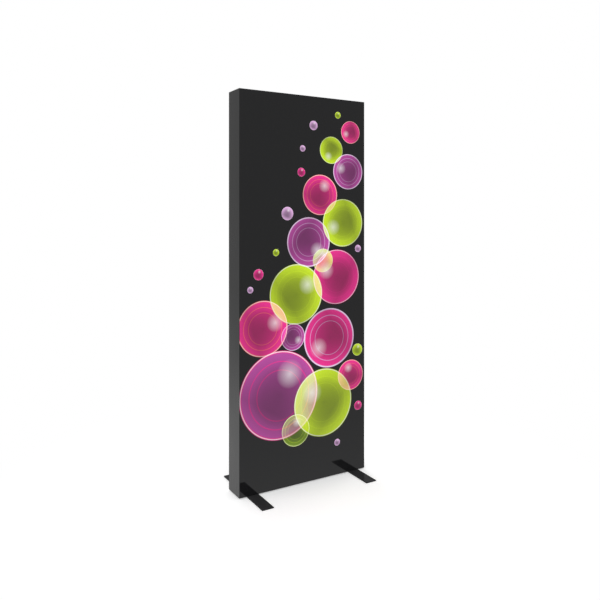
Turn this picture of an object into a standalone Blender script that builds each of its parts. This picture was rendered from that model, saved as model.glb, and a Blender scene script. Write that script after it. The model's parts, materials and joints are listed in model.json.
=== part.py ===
"""Free-standing light box display wall, 3 ft wide and 8 ft high.

A mitred frame of aluminium extrusions holds a printed fabric in front and a
black-out liner behind. LED bars on the uprights light the space between them.
The frame stands on two flat steel plates.

Metres, +Z up. The origin is on the floor under the middle of the frame, and
the front faces -Y.
"""

import math

import bmesh
import bpy
from mathutils import Matrix, Vector

MM = 0.001

# Frame, outside sizes
FRAME_WIDTH = 914.4 * MM
FRAME_HEIGHT = 2438.4 * MM
FRAME_DEPTH = 152.4 * MM

# Clearance between neighbouring solids, how far a cut runs past them, and the weld of a curve's caps
GAP = 0.3 * MM
OVERRUN = 1.0 * MM
WELD = 0.01 * MM

# Section of the frame's extrusion
WALL = 2.0 * MM
OUTER_EDGE_RADIUS = 0.8 * MM
GROOVE_WIDTH = 4.0 * MM
GROOVE_DEPTH = 16.0 * MM
GROOVE_INNER_WALL = 1.6 * MM
GROOVE_FLOOR = 1.8 * MM
CHAMBER_WIDTH = 40.0 * MM
CHAMBER_HEIGHT = 20.0 * MM
LIP_WALL = 1.5 * MM
HOOK_REACH = 1.7 * MM
HOOK_THICKNESS = 1.8 * MM

# Fabric and the silicone bead along its edges
FABRIC_THICKNESS = 0.8 * MM
BEAD_THICKNESS = 3.0 * MM

# Corner brackets and their lock screws
BRACKET_FLANGE = 4.0 * MM
BRACKET_BOSS_RADIUS = 9.0 * MM
LOCK_SCREW_RADIUS = 3.0 * MM
LOCK_ACCESS_RADIUS = 3.6 * MM
LOCK_SOCKET_RADIUS = 1.7 * MM
LOCK_SOCKET_DEPTH = 3.0 * MM

# Splice bars
SPLICE_LENGTH = 240.0 * MM
SPLICE_WALL = 3.0 * MM
SPLICE_SCREW_RISE = 40.0 * MM

# Crossbar and its end brackets
CROSSBAR_SIDE = 20.0 * MM
CROSSBAR_WALL = 1.5 * MM
CROSSBAR_SEAT = 22.0 * MM
COLLAR_WALL = 2.0 * MM
COLLAR_FLOOR = 4.0 * MM
BRACKET_BASE_LENGTH = 50.0 * MM

# Foot plates and the countersunk bolts through them
FOOT_LENGTH = 550.0 * MM
FOOT_WIDTH = 76.2 * MM
FOOT_THICKNESS = 6.0 * MM
FOOT_CORNER_RADIUS = 2.0 * MM
FOOT_INSET = 52.0 * MM
BOLT_SPACING = 40.0 * MM
BOLT_RADIUS = 4.0 * MM
BOLT_HEAD_RADIUS = 7.8 * MM
BOLT_SINK = 0.5 * MM
BOLT_SOCKET_RADIUS = 2.9 * MM
BOLT_SOCKET_DEPTH = 3.0 * MM

# LED bars, boards and lenses
LED_BAR_WIDTH = 28.0 * MM
LED_BAR_HEIGHT = 7.0 * MM
LED_BAR_WALL = 2.0 * MM
LED_CORNER_SPACE = 160.0 * MM
LED_MIDDLE_SPACE = 55.0 * MM
LED_BOARD_THICKNESS = 1.6 * MM
LED_PITCH = 50.0 * MM
LENS_RADIUS = 6.5 * MM
LENS_TOP_RADIUS = 4.6 * MM
LENS_HEIGHT = 6.5 * MM
CONNECTOR_WIDTH = 10.0 * MM
CONNECTOR_LENGTH = 12.0 * MM
CONNECTOR_HEIGHT = 5.6 * MM

# LED driver and its saddle clips
DRIVER_LENGTH = 280.0 * MM
DRIVER_WIDTH = 28.0 * MM
DRIVER_HEIGHT = 21.0 * MM
DRIVER_EDGE = 1.5 * MM
CLIP_STRAP = 1.2 * MM
CLIP_LENGTH = 12.0 * MM
CLIP_FOOT = 2.0 * MM
CLIP_INSET = 40.0 * MM

# Leads
LED_LEAD_RADIUS = 2.5 * MM
LED_LEAD_STEP = 10.0 * MM
LED_LEAD_OFFSET = 6.0 * MM
LEAD_BEND_RADIUS = 25.0 * MM
LEAD_CLIMB = 110.0 * MM
LEAD_RUN_STEP = 20.0 * MM
JUMPER_RADIUS = 2.2 * MM
JUMPER_STEP = 5.5 * MM
MAINS_LEAD_RADIUS = 3.5 * MM
MAINS_LEAD_STEP = 14.0 * MM
MAINS_RUN = 140.0 * MM

# Power inlet, seen on the right side: socket, fuse drawer and rocker switch
INLET_RISE = 120.0 * MM
INLET_WIDTH = 28.0 * MM
INLET_RIB = 3.0 * MM
INLET_DEPTH = 30.0 * MM
INLET_CORNER_RADIUS = 2.0 * MM
INLET_FLANGE_THICKNESS = 2.0 * MM
INLET_FLANGE_REACH = 9.0 * MM
INLET_SCREW_RADIUS = 1.5 * MM
INLET_SCREW_HEAD_RADIUS = 2.8 * MM
SOCKET_WIDTH = 24.0 * MM
SOCKET_HEIGHT = 16.5 * MM
SOCKET_DEPTH = 20.0 * MM
SOCKET_CHAMFER = 4.5 * MM
PIN_LENGTH = 13.0 * MM
PIN_WIDTH = 2.0 * MM
PIN_HEIGHT = 4.0 * MM
PIN_SPACING = 7.0 * MM
EARTH_PIN_RISE = 2.0 * MM
DRAWER_WIDTH = 24.0 * MM
DRAWER_HEIGHT = 8.4 * MM
DRAWER_DEPTH = 24.0 * MM
DRAWER_TRAY_WALL = 1.4 * MM
DRAWER_NOTCH = 1.6 * MM
FUSE_RADIUS = 2.6 * MM
FUSE_LENGTH = 20.0 * MM
FUSE_CAP_LENGTH = 5.0 * MM
FUSE_GLASS_STEP = 0.3 * MM
ROCKER_LENGTH = 18.8 * MM
ROCKER_WIDTH = 12.0 * MM
ROCKER_PIVOT_DEPTH = 6.0 * MM
ROCKER_END_RISE = 3.8 * MM
ROCKER_MIDDLE_RISE = 2.6 * MM
ROCKER_TILT = math.radians(8)

# Facets of the round pieces
BOLT_STEPS = 16
SCREW_STEPS = 10
LENS_STEPS = 10
HEXAGON = 6
CORNER_STEPS = 3
ROCKER_STEPS = 12

# Points on the bends of the leads, and on the smooth curve between two of a route's points
LEAD_BEND_STEPS = 4
TURN_STEPS = 12
MAINS_STEPS = 12
ROUTE_SUBSTEPS = 24

# How sharply the right-hand lead's half turn rises and falls: 1 is a sine, more is a narrower hump
TURN_SHARPNESS = 1.3

# Where the leads cross a lip: shares of the way up, of the way across and of the way out
CLIMB_SHARES = (
    (0.0, 1.0, 0.0),
    (0.14, 0.995, 0.02),
    (0.29, 0.91, 0.2),
    (0.44, 0.77, 0.51),
    (0.56, 0.61, 0.82),
    (0.66, 0.4, 1.0),
    (0.745, 0.2, 0.985),
    (0.82, 0.065, 0.86),
)
CLIMB_STRAIGHT_SHARES = (0.9, 0.95, 1.0)
JUMPER_STRAIGHT_SHARES = (0.0, 0.06, 0.12, 0.18)
JUMPER_SHARES = (
    (0.3, 0.19, 0.75),
    (0.42, 0.52, 1.0),
    (0.54, 0.875, 1.0),
    (0.65, 1.1, 0.66),
    (0.77, 1.08, 0.22),
    (0.9, 1.02, 0.03),
    (1.0, 1.01, 0.02),
)

# Places and sizes that follow from those above
BASE = FOOT_THICKNESS + GAP
TOP = BASE + FRAME_HEIGHT
MIDDLE = BASE + FRAME_HEIGHT / 2
HALF_WIDTH = FRAME_WIDTH / 2
HALF_DEPTH = FRAME_DEPTH / 2
CHAMBER_INNER_FACE = WALL + CHAMBER_HEIGHT
CHAMBER_TOP = CHAMBER_INNER_FACE + WALL
CHAMBER_SIDE = CHAMBER_WIDTH / 2 + WALL
GROOVE_TOP = WALL + GROOVE_WIDTH + GROOVE_INNER_WALL
GROOVE_BOTTOM = HALF_DEPTH - GROOVE_DEPTH
CHANNEL_SIDE = GROOVE_BOTTOM - GROOVE_FLOOR
CHANNEL_MIDDLE = (CHAMBER_SIDE + CHANNEL_SIDE) / 2
FABRIC_BACK = HALF_DEPTH - FABRIC_THICKNESS
LIP_INNER = LED_BAR_WIDTH / 2 + GAP
LIP_OUTER = LIP_INNER + LIP_WALL
HOOK_BOTTOM = CHAMBER_TOP + LED_BAR_HEIGHT + 2 * GAP
HOOK_TOP = HOOK_BOTTOM + HOOK_THICKNESS
BRACKET_WIDTH = CHAMBER_WIDTH - 2 * GAP
BRACKET_THICKNESS = CHAMBER_HEIGHT - 2 * GAP
BRACKET_LOW = WALL + GAP
BRACKET_HIGH = BRACKET_LOW + BRACKET_THICKNESS
BRACKET_MIDDLE = (BRACKET_LOW + BRACKET_HIGH) / 2
FOOT_MIDDLE = FOOT_INSET + FOOT_WIDTH / 2
BOSS_PLACES = (FOOT_MIDDLE - BOLT_SPACING / 2, FOOT_MIDDLE + BOLT_SPACING / 2)
BRACKET_LEG = BOSS_PLACES[1] + BRACKET_BOSS_RADIUS
BOARD_LOW = CHAMBER_TOP + 2 * GAP + LED_BAR_WALL
BOARD_TOP = BOARD_LOW + LED_BOARD_THICKNESS
LED_SPANS = {
    "lower": (BASE + LED_CORNER_SPACE, MIDDLE - LED_MIDDLE_SPACE),
    "upper": (MIDDLE + LED_MIDDLE_SPACE, TOP - LED_CORNER_SPACE),
}
LEAD_ENTRY = BOARD_TOP + CONNECTOR_HEIGHT / 2
COLLAR_SIDE = CROSSBAR_SIDE + 2 * (GAP + COLLAR_WALL)
CROSSBAR_END = CHAMBER_TOP + GAP + COLLAR_FLOOR + GAP
COLLAR_END = CROSSBAR_END + CROSSBAR_SEAT
INLET_MIDDLE = BASE + INLET_RISE
DRAWER_OPENING = DRAWER_HEIGHT + 2 * GAP
ROCKER_OPENING = ROCKER_WIDTH + 2 * GAP
INLET_HEIGHT = SOCKET_HEIGHT + DRAWER_OPENING + ROCKER_OPENING + 4 * INLET_RIB
SOCKET_RISE = INLET_RIB + SOCKET_HEIGHT / 2 - INLET_HEIGHT / 2
DRAWER_RISE = SOCKET_RISE + SOCKET_HEIGHT / 2 + INLET_RIB + DRAWER_OPENING / 2
ROCKER_RISE = DRAWER_RISE + DRAWER_OPENING / 2 + INLET_RIB + ROCKER_OPENING / 2
INLET_SCREW_RISE = (INLET_HEIGHT + INLET_FLANGE_REACH) / 2

SIDES = ("left", "right", "top", "bottom")
UPRIGHTS = ("left", "right")


# Scene, collections and materials


def clear_scene():
    """Empties the scene, so that the model is all that it holds."""
    for obj in list(bpy.data.objects):
        bpy.data.objects.remove(obj, do_unlink=True)


def new_collection(name, hidden=False):
    """A collection under the scene's own, left out of the render where it is hidden."""
    collection = bpy.data.collections.new(name)
    bpy.context.scene.collection.children.link(collection)
    collection.hide_render = hidden
    return collection


def new_material(name, colour, roughness, metallic=0.0):
    """A plain Principled material."""
    material = bpy.data.materials.new(name)
    material.use_nodes = True
    shader = material.node_tree.nodes["Principled BSDF"]
    shader.inputs["Base Color"].default_value = (*colour, 1.0)
    shader.inputs["Roughness"].default_value = roughness
    shader.inputs["Metallic"].default_value = metallic
    return material


clear_scene()
PARTS = new_collection("light_box_display_wall")
CUTTERS = new_collection("cutters", hidden=True)

BLACK_ALUMINIUM = new_material("black_anodised_aluminium", (0.016, 0.016, 0.017), 0.45, 0.6)
BARE_ALUMINIUM = new_material("mill_finish_aluminium", (0.62, 0.63, 0.64), 0.35, 1.0)
CAST_ALUMINIUM = new_material("cast_aluminium", (0.45, 0.46, 0.47), 0.5, 1.0)
ZINC_STEEL = new_material("zinc_plated_steel", (0.55, 0.56, 0.57), 0.3, 1.0)
BLACK_STEEL = new_material("black_powder_coated_steel", (0.012, 0.012, 0.013), 0.3)
PRINTED_FABRIC = new_material("printed_polyester_fabric", (0.02, 0.02, 0.02), 0.5)
BLACKOUT_FABRIC = new_material("blackout_polyester_fabric", (0.02, 0.02, 0.022), 0.8)
SILICONE = new_material("white_silicone", (0.75, 0.75, 0.73), 0.5)
LED_BOARD = new_material("white_led_board", (0.8, 0.82, 0.8), 0.4)
BLACK_PLASTIC = new_material("black_moulded_plastic", (0.015, 0.015, 0.015), 0.4)
WHITE_PLASTIC = new_material("white_driver_case", (0.75, 0.75, 0.74), 0.4)
LEAD_JACKET = new_material("black_lead_jacket", (0.02, 0.02, 0.02), 0.5)
GLASS_FUSE = new_material("glass_fuse", (0.7, 0.72, 0.7), 0.2)


# Modelling helpers


def add_object(name, mesh, material, parent=None):
    """Links a mesh as a part, or as a cutter where it has no material."""
    obj = bpy.data.objects.new(name, mesh)
    if material is None:
        CUTTERS.objects.link(obj)
        obj.hide_render = True
        obj.display_type = "WIRE"
    else:
        PARTS.objects.link(obj)
        mesh.materials.append(material)
    obj.parent = parent
    return obj


def side_empty(side):
    """An empty on one outer face of the frame. Its X points inwards and its Y across the depth."""
    places = {
        "left": ((-HALF_WIDTH, 0, 0), (0, 0, 0)),
        "right": ((HALF_WIDTH, 0, 0), (0, 0, math.pi)),
        "top": ((0, 0, TOP), (0, math.pi / 2, 0)),
        "bottom": ((0, 0, BASE), (0, -math.pi / 2, 0)),
    }
    empty = bpy.data.objects.new(f"{side}_side", None)
    PARTS.objects.link(empty)
    empty.location, empty.rotation_euler = places[side]
    return empty


def box(name, low, high, material=None, parent=None):
    """A block between two opposite corners."""
    low, high = Vector(low), Vector(high)
    mesh = bpy.data.meshes.new(name)
    bm = bmesh.new()
    bmesh.ops.create_cube(bm, size=1)
    bmesh.ops.scale(bm, vec=high - low, verts=bm.verts)
    bm.to_mesh(mesh)
    bm.free()
    obj = add_object(name, mesh, material, parent)
    obj.location = (low + high) / 2
    return obj


def rod(name, centre, radius, length, axis, steps, material=None, parent=None, end_radius=None):
    """A cylinder or a cone round one axis. The end radius is the one at the axis's positive end."""
    turns = {
        "X": Matrix.Rotation(math.pi / 2, 3, "Y"),
        "Y": Matrix.Rotation(-math.pi / 2, 3, "X"),
        "Z": Matrix.Identity(3),
    }
    mesh = bpy.data.meshes.new(name)
    bm = bmesh.new()
    bmesh.ops.create_cone(
        bm,
        cap_ends=True,
        segments=steps,
        radius1=radius,
        radius2=radius if end_radius is None else end_radius,
        depth=length,
    )
    bmesh.ops.rotate(bm, cent=(0, 0, 0), matrix=turns[axis], verts=bm.verts)
    bm.to_mesh(mesh)
    bm.free()
    obj = add_object(name, mesh, material, parent)
    obj.location = centre
    return obj


def prism(name, loops, low, high, axis, material=None, parent=None):
    """A flat outline with its holes, drawn out along one axis.

    The outline's two coordinates are the axes that follow in turn: X and Y
    for Z, Y and Z for X, Z and X for Y.
    """
    curve = bpy.data.curves.new(name, "CURVE")
    curve.dimensions = "2D"
    curve.fill_mode = "BOTH"
    curve.extrude = (high - low) / 2
    for loop in loops:
        spline = curve.splines.new("POLY")
        spline.points.add(len(loop) - 1)
        for point, place in zip(spline.points, loop):
            point.co = (*place, 0, 1)
        spline.use_cyclic_u = True
    drawn = bpy.data.objects.new(name, curve)
    PARTS.objects.link(drawn)
    graph = bpy.context.evaluated_depsgraph_get()
    mesh = bpy.data.meshes.new_from_object(drawn.evaluated_get(graph))
    bpy.data.objects.remove(drawn)
    bm = bmesh.new()
    bm.from_mesh(mesh)
    bmesh.ops.remove_doubles(bm, verts=bm.verts, dist=WELD)
    bmesh.ops.translate(bm, vec=(0, 0, (low + high) / 2), verts=bm.verts)
    for vertex in bm.verts:
        x, y, z = vertex.co
        vertex.co = {"X": (z, x, y), "Y": (y, z, x), "Z": (x, y, z)}[axis]
    bm.to_mesh(mesh)
    bm.free()
    mesh.shade_flat()
    return add_object(name, mesh, material, parent)


def mitre(obj, low=False, high=False):
    """Slants the ends of a piece that runs along Z by 45 degrees, so that its outer face is the longest."""
    heights = [vertex.co.z for vertex in obj.data.vertices]
    middle = (min(heights) + max(heights)) / 2
    back = GAP / math.sqrt(2)
    for vertex in obj.data.vertices:
        if low and vertex.co.z < middle:
            vertex.co.z += vertex.co.x + back
        if high and vertex.co.z > middle:
            vertex.co.z -= vertex.co.x + back
    return obj


def turned(name, profile, steps, material=None, parent=None):
    """A piece turned round Z. The profile runs down its outer side, from top to bottom."""
    mesh = bpy.data.meshes.new(name)
    edges = [(i, i + 1) for i in range(len(profile) - 1)]
    mesh.from_pydata([(radius, 0, height) for radius, height in profile], edges, [])
    obj = add_object(name, mesh, material, parent)
    screw = obj.modifiers.new("turn", "SCREW")
    screw.steps = steps
    screw.render_steps = steps
    screw.use_merge_vertices = True
    screw.merge_threshold = WELD
    return obj


def combine(target, other, operation="DIFFERENCE"):
    """Cuts the other piece out of the target, or joins it on."""
    modifier = target.modifiers.new(other.name, "BOOLEAN")
    modifier.operation = operation
    modifier.solver = "EXACT"
    modifier.object = other


def arc(centre, radius, start, end, steps):
    """Points along an arc, in degrees counted anticlockwise."""
    angles = [math.radians(start + (end - start) * i / steps) for i in range(steps + 1)]
    return [(centre[0] + radius * math.cos(a), centre[1] + radius * math.sin(a)) for a in angles]


def rounded_rectangle(low, high, radius):
    """Outline of a rectangle with round corners, between two opposite corners."""
    corners = (
        ((high[0] - radius, high[1] - radius), 0),
        ((low[0] + radius, high[1] - radius), 90),
        ((low[0] + radius, low[1] + radius), 180),
        ((high[0] - radius, low[1] + radius), 270),
    )
    points = []
    for centre, start in corners:
        points += arc(centre, radius, start, start + 90, CORNER_STEPS)
    return points


def rectangle(low, high):
    """Outline of a rectangle between two opposite corners."""
    return [(low[0], low[1]), (high[0], low[1]), (high[0], high[1]), (low[0], high[1])]


def smooth_route(points, step):
    """Evenly spaced points on the smooth curve through a route's own points."""
    route = [Vector(p) for p in points]
    route = [2 * route[0] - route[1], *route, 2 * route[-1] - route[-2]]
    fine = []
    for a, b, c, d in zip(route, route[1:], route[2:], route[3:]):
        for i in range(ROUTE_SUBSTEPS):
            t = i / ROUTE_SUBSTEPS
            fine.append(
                (
                    2 * b
                    + (c - a) * t
                    + (2 * a - 5 * b + 4 * c - d) * t**2
                    + (3 * b - a - 3 * c + d) * t**3
                )
                / 2
            )
    fine.append(route[-2])
    lengths = [0]
    for a, b in zip(fine, fine[1:]):
        lengths.append(lengths[-1] + (b - a).length)
    count = max(2, round(lengths[-1] / step))
    spaced = []
    index = 0
    for i in range(count + 1):
        wanted = lengths[-1] * i / count
        while index < len(fine) - 2 and lengths[index + 1] < wanted:
            index += 1
        share = (wanted - lengths[index]) / (lengths[index + 1] - lengths[index])
        spaced.append(fine[index].lerp(fine[index + 1], share))
    return spaced


def lead(name, points, radius, step, parent=None):
    """A round lead along a route."""
    curve = bpy.data.curves.new(name, "CURVE")
    curve.dimensions = "3D"
    curve.bevel_depth = radius
    curve.bevel_resolution = 2
    curve.use_fill_caps = True
    curve.materials.append(LEAD_JACKET)
    places = smooth_route(points, step)
    spline = curve.splines.new("POLY")
    spline.points.add(len(places) - 1)
    for point, place in zip(spline.points, places):
        point.co = (*place, 1)
    obj = bpy.data.objects.new(name, curve)
    PARTS.objects.link(obj)
    obj.parent = parent
    return obj


# Frame of mitred extrusions


def frame_section():
    """Outlines of the extrusion and of its chamber: X runs inwards from the outer face, Y across."""
    half = [
        (CHAMBER_TOP, LIP_INNER),
        (HOOK_BOTTOM, LIP_INNER),
        (HOOK_BOTTOM, LIP_INNER - HOOK_REACH),
        (HOOK_TOP, LIP_INNER - HOOK_REACH),
        (HOOK_TOP, LIP_OUTER),
        (CHAMBER_TOP, LIP_OUTER),
        (CHAMBER_TOP, CHAMBER_SIDE),
        (WALL, CHAMBER_SIDE),
        (WALL, CHANNEL_SIDE),
        (GROOVE_TOP, CHANNEL_SIDE),
        (GROOVE_TOP, FABRIC_BACK - GAP),
        (GROOVE_TOP - GROOVE_INNER_WALL, FABRIC_BACK - GAP),
        (GROOVE_TOP - GROOVE_INNER_WALL, GROOVE_BOTTOM),
        (WALL, GROOVE_BOTTOM),
        (WALL, HALF_DEPTH),
        *arc(
            (OUTER_EDGE_RADIUS, HALF_DEPTH - OUTER_EDGE_RADIUS),
            OUTER_EDGE_RADIUS,
            90,
            180,
            CORNER_STEPS,
        ),
    ]
    outer = half + [(x, -y) for x, y in reversed(half)]
    chamber = rectangle((WALL, -CHAMBER_WIDTH / 2), (CHAMBER_INNER_FACE, CHAMBER_WIDTH / 2))
    return [outer, chamber]


def extrusion(name, low, high, side):
    """A length of the frame's extrusion, between two places along its side."""
    return prism(name, frame_section(), low, high, "Z", BLACK_ALUMINIUM, side)


def build_frame(sides):
    """Two rails, and two uprights that are each split at mid-height."""
    pieces = {}
    for side in UPRIGHTS:
        lower = extrusion(f"{side}_upright_lower", BASE, MIDDLE - GAP / 2, sides[side])
        upper = extrusion(f"{side}_upright_upper", MIDDLE + GAP / 2, TOP, sides[side])
        pieces[side, "lower"] = mitre(lower, low=True)
        pieces[side, "upper"] = mitre(upper, high=True)
    for side in ("top", "bottom"):
        rail = extrusion(f"{side}_rail", -HALF_WIDTH, HALF_WIDTH, sides[side])
        pieces[side] = mitre(rail, low=True, high=True)
    return pieces


# Corner brackets and lock screws


def bracket_outline():
    """The L and the windows of its two legs. Both coordinates run from the frame's outer faces."""
    low, high = BRACKET_LOW, BRACKET_HIGH
    outer = [
        (low, low),
        (BRACKET_LEG, low),
        (BRACKET_LEG, high),
        (high, high),
        (high, BRACKET_LEG),
        (low, BRACKET_LEG),
    ]
    window_low, window_high = low + BRACKET_FLANGE, high - BRACKET_FLANGE
    first_end = BOSS_PLACES[0] - BRACKET_BOSS_RADIUS
    second_start = BOSS_PLACES[0] + BRACKET_BOSS_RADIUS
    second_end = BOSS_PLACES[1] - BRACKET_BOSS_RADIUS
    windows = []
    for start, end in ((high + BRACKET_FLANGE, first_end), (second_start, second_end)):
        windows.append(rectangle((start, window_low), (end, window_high)))
        windows.append([(x, z) for z, x in reversed(windows[-1])])
    return [outer, *windows]


def build_brackets(sides, frame):
    """One bracket in each corner of the frame, locked by a screw in its upright leg."""
    for level, upright_part in (("bottom", "lower"), ("top", "upper")):
        for side in UPRIGHTS:
            name = f"{level}_{side}_bracket"
            across = 1 if side == "left" else -1
            upwards = 1 if level == "bottom" else -1
            corner_z = BASE if level == "bottom" else TOP
            loops = [
                [(corner_z + upwards * z, across * (x - HALF_WIDTH)) for z, x in loop]
                for loop in bracket_outline()
            ]
            half = BRACKET_WIDTH / 2
            bracket = prism(name, loops, -half, half, "Y", CAST_ALUMINIUM)
            for number, place in enumerate(BOSS_PLACES):
                hole = rod(
                    f"{name}_bolt_hole_{number}",
                    (across * (place - HALF_WIDTH), 0, corner_z + upwards * BRACKET_MIDDLE),
                    BOLT_RADIUS + GAP,
                    BRACKET_THICKNESS + 2 * OVERRUN,
                    "Z",
                    BOLT_STEPS,
                )
                combine(bracket, hole)
            screw_name = f"{level}_{side}_lock_screw"
            screw_z = corner_z + upwards * BOSS_PLACES[1]
            build_lock_screw(screw_name, screw_z, sides[side], bracket, frame[side, upright_part])


def build_lock_screw(name, height, side, held, upright):
    """A socket screw across the upright's chamber, in a hole of the piece that it locks."""
    place = (BRACKET_MIDDLE, 0, height)
    screw = rod(name, place, LOCK_SCREW_RADIUS, BRACKET_THICKNESS, "X", SCREW_STEPS, ZINC_STEEL, side)
    socket_place = (BRACKET_HIGH + OVERRUN / 2 - LOCK_SOCKET_DEPTH / 2, 0, height)
    socket_length = LOCK_SOCKET_DEPTH + OVERRUN
    socket_name = f"{name}_socket"
    socket = rod(socket_name, socket_place, LOCK_SOCKET_RADIUS, socket_length, "X", HEXAGON, parent=side)
    combine(screw, socket)
    hole_length = BRACKET_THICKNESS + 2 * OVERRUN
    hole = rod(f"{name}_hole", place, LOCK_SCREW_RADIUS + GAP, hole_length, "X", SCREW_STEPS, parent=side)
    combine(held, hole)
    access_place = ((CHAMBER_INNER_FACE + CHAMBER_TOP) / 2, 0, height)
    access = rod(
        f"{name}_access",
        access_place,
        LOCK_ACCESS_RADIUS,
        WALL + 2 * OVERRUN,
        "X",
        SCREW_STEPS,
        parent=side,
    )
    combine(upright, access)


# Splice bars in the uprights


def build_splices(sides, frame):
    """A tube across each upright's joint, locked in the upper length."""
    half = BRACKET_WIDTH / 2
    outer = rectangle((BRACKET_LOW, -half), (BRACKET_HIGH, half))
    inner = rectangle(
        (BRACKET_LOW + SPLICE_WALL, -half + SPLICE_WALL), (BRACKET_HIGH - SPLICE_WALL, half - SPLICE_WALL)
    )
    for side in UPRIGHTS:
        low, high = MIDDLE - SPLICE_LENGTH / 2, MIDDLE + SPLICE_LENGTH / 2
        bar = prism(f"{side}_splice_bar", [outer, inner], low, high, "Z", BARE_ALUMINIUM, sides[side])
        screw_z = MIDDLE + SPLICE_SCREW_RISE
        build_lock_screw(f"{side}_splice_screw", screw_z, sides[side], bar, frame[side, "upper"])


# Crossbar between the uprights


def build_crossbar(sides):
    """A square tube at mid-height, seated in a collar on each upright."""
    half = CROSSBAR_SIDE / 2
    hollow = half - CROSSBAR_WALL
    loops = [
        rectangle((-half, MIDDLE - half), (half, MIDDLE + half)),
        rectangle((-hollow, MIDDLE - hollow), (hollow, MIDDLE + hollow)),
    ]
    reach = HALF_WIDTH - CROSSBAR_END
    prism("crossbar", loops, -reach, reach, "X", BARE_ALUMINIUM)
    for side in UPRIGHTS:
        name = f"{side}_crossbar_bracket"
        base_half, collar_half = BRACKET_BASE_LENGTH / 2, COLLAR_SIDE / 2
        base_low = CHAMBER_TOP + GAP
        bracket = box(
            name,
            (base_low, -LED_BAR_WIDTH / 2, MIDDLE - base_half),
            (base_low + LED_BAR_HEIGHT, LED_BAR_WIDTH / 2, MIDDLE + base_half),
            BLACK_PLASTIC,
            sides[side],
        )
        collar = box(
            f"{name}_collar",
            (base_low + COLLAR_FLOOR / 2, -collar_half, MIDDLE - collar_half),
            (COLLAR_END, collar_half, MIDDLE + collar_half),
            parent=sides[side],
        )
        pocket = box(
            f"{name}_pocket",
            (base_low + COLLAR_FLOOR, -half - GAP, MIDDLE - half - GAP),
            (COLLAR_END + OVERRUN, half + GAP, MIDDLE + half + GAP),
            parent=sides[side],
        )
        combine(bracket, collar, "UNION")
        combine(bracket, pocket)


# Feet and their bolts


def countersunk_profile(head, shank, bottom, top):
    """Outline of a countersunk screw, head down, from top to bottom."""
    return [(0, top), (shank, top), (shank, bottom + head - shank), (head, bottom), (0, bottom)]


def build_feet(frame):
    """Two steel plates under the frame, each bolted through the bottom rail to a corner bracket."""
    tip = BASE + CHAMBER_INNER_FACE - 2 * GAP
    for side in UPRIGHTS:
        across = 1 if side == "left" else -1
        middle = across * (FOOT_MIDDLE - HALF_WIDTH)
        half_width, half_length = FOOT_WIDTH / 2, FOOT_LENGTH / 2
        outline = rounded_rectangle(
            (middle - half_width, -half_length), (middle + half_width, half_length), FOOT_CORNER_RADIUS
        )
        foot = prism(f"{side}_foot", [outline], 0, FOOT_THICKNESS, "Z", BLACK_STEEL)
        for position, place in zip(("outer", "inner"), BOSS_PLACES):
            name = f"{side}_foot_bolt_{position}"
            x = across * (place - HALF_WIDTH)
            profile = countersunk_profile(BOLT_HEAD_RADIUS, BOLT_RADIUS, BOLT_SINK, tip)
            bolt = turned(name, profile, BOLT_STEPS, ZINC_STEEL)
            bolt.location = (x, 0, 0)
            socket_place = (x, 0, BOLT_SINK + (BOLT_SOCKET_DEPTH - OVERRUN) / 2)
            socket_length = BOLT_SOCKET_DEPTH + OVERRUN
            socket_name = f"{name}_socket"
            combine(bolt, rod(socket_name, socket_place, BOLT_SOCKET_RADIUS, socket_length, "Z", HEXAGON))
            head_top = BOLT_SINK + BOLT_HEAD_RADIUS - BOLT_RADIUS
            sink = rod(
                f"{name}_sink",
                (x, 0, head_top / 2),
                BOLT_RADIUS + GAP + head_top,
                head_top,
                "Z",
                BOLT_STEPS,
                end_radius=BOLT_RADIUS + GAP,
            )
            hole = rod(f"{name}_hole", (x, 0, BASE), BOLT_RADIUS + GAP, 4 * FOOT_THICKNESS, "Z", BOLT_STEPS)
            combine(foot, sink)
            combine(foot, hole)
            rail_place = (x, 0, BASE + WALL / 2)
            rail_length = WALL + 2 * OVERRUN
            combine(
                frame["bottom"],
                rod(f"{name}_rail_hole", rail_place, BOLT_RADIUS + GAP, rail_length, "Z", BOLT_STEPS),
            )


# Fabric faces and the beads along their edges


def build_fabric(sides):
    """The printed front and the black-out back, each with a silicone bead in every groove."""
    faces = (
        ("front_graphic", "front_bead", -1, PRINTED_FABRIC),
        ("back_liner", "back_bead", 1, BLACKOUT_FABRIC),
    )
    bead_low = WALL + (GROOVE_WIDTH - BEAD_THICKNESS) / 2
    edge = WALL + GAP
    for name, bead_name, face, material in faces:
        y_low, y_high = sorted((face * FABRIC_BACK, face * HALF_DEPTH))
        low_corner = (edge - HALF_WIDTH, y_low, BASE + edge)
        high_corner = (HALF_WIDTH - edge, y_high, TOP - edge)
        box(name, low_corner, high_corner, material)
        for side in SIDES:
            towards = face * across_sign(side)
            v_low, v_high = sorted((towards * (GROOVE_BOTTOM + GAP), towards * (FABRIC_BACK - GAP)))
            outline = rectangle((bead_low, v_low), (bead_low + BEAD_THICKNESS, v_high))
            low, high = (BASE, TOP) if side in UPRIGHTS else (-HALF_WIDTH, HALF_WIDTH)
            bead = prism(f"{bead_name}_{side}", [outline], low, high, "Z", SILICONE, sides[side])
            mitre(bead, low=True, high=True)


def across_sign(side):
    """How the depth axis of a side runs: the right side is turned round, so its Y points to the front."""
    return -1 if side == "right" else 1


# LED bars, boards and lenses


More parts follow.
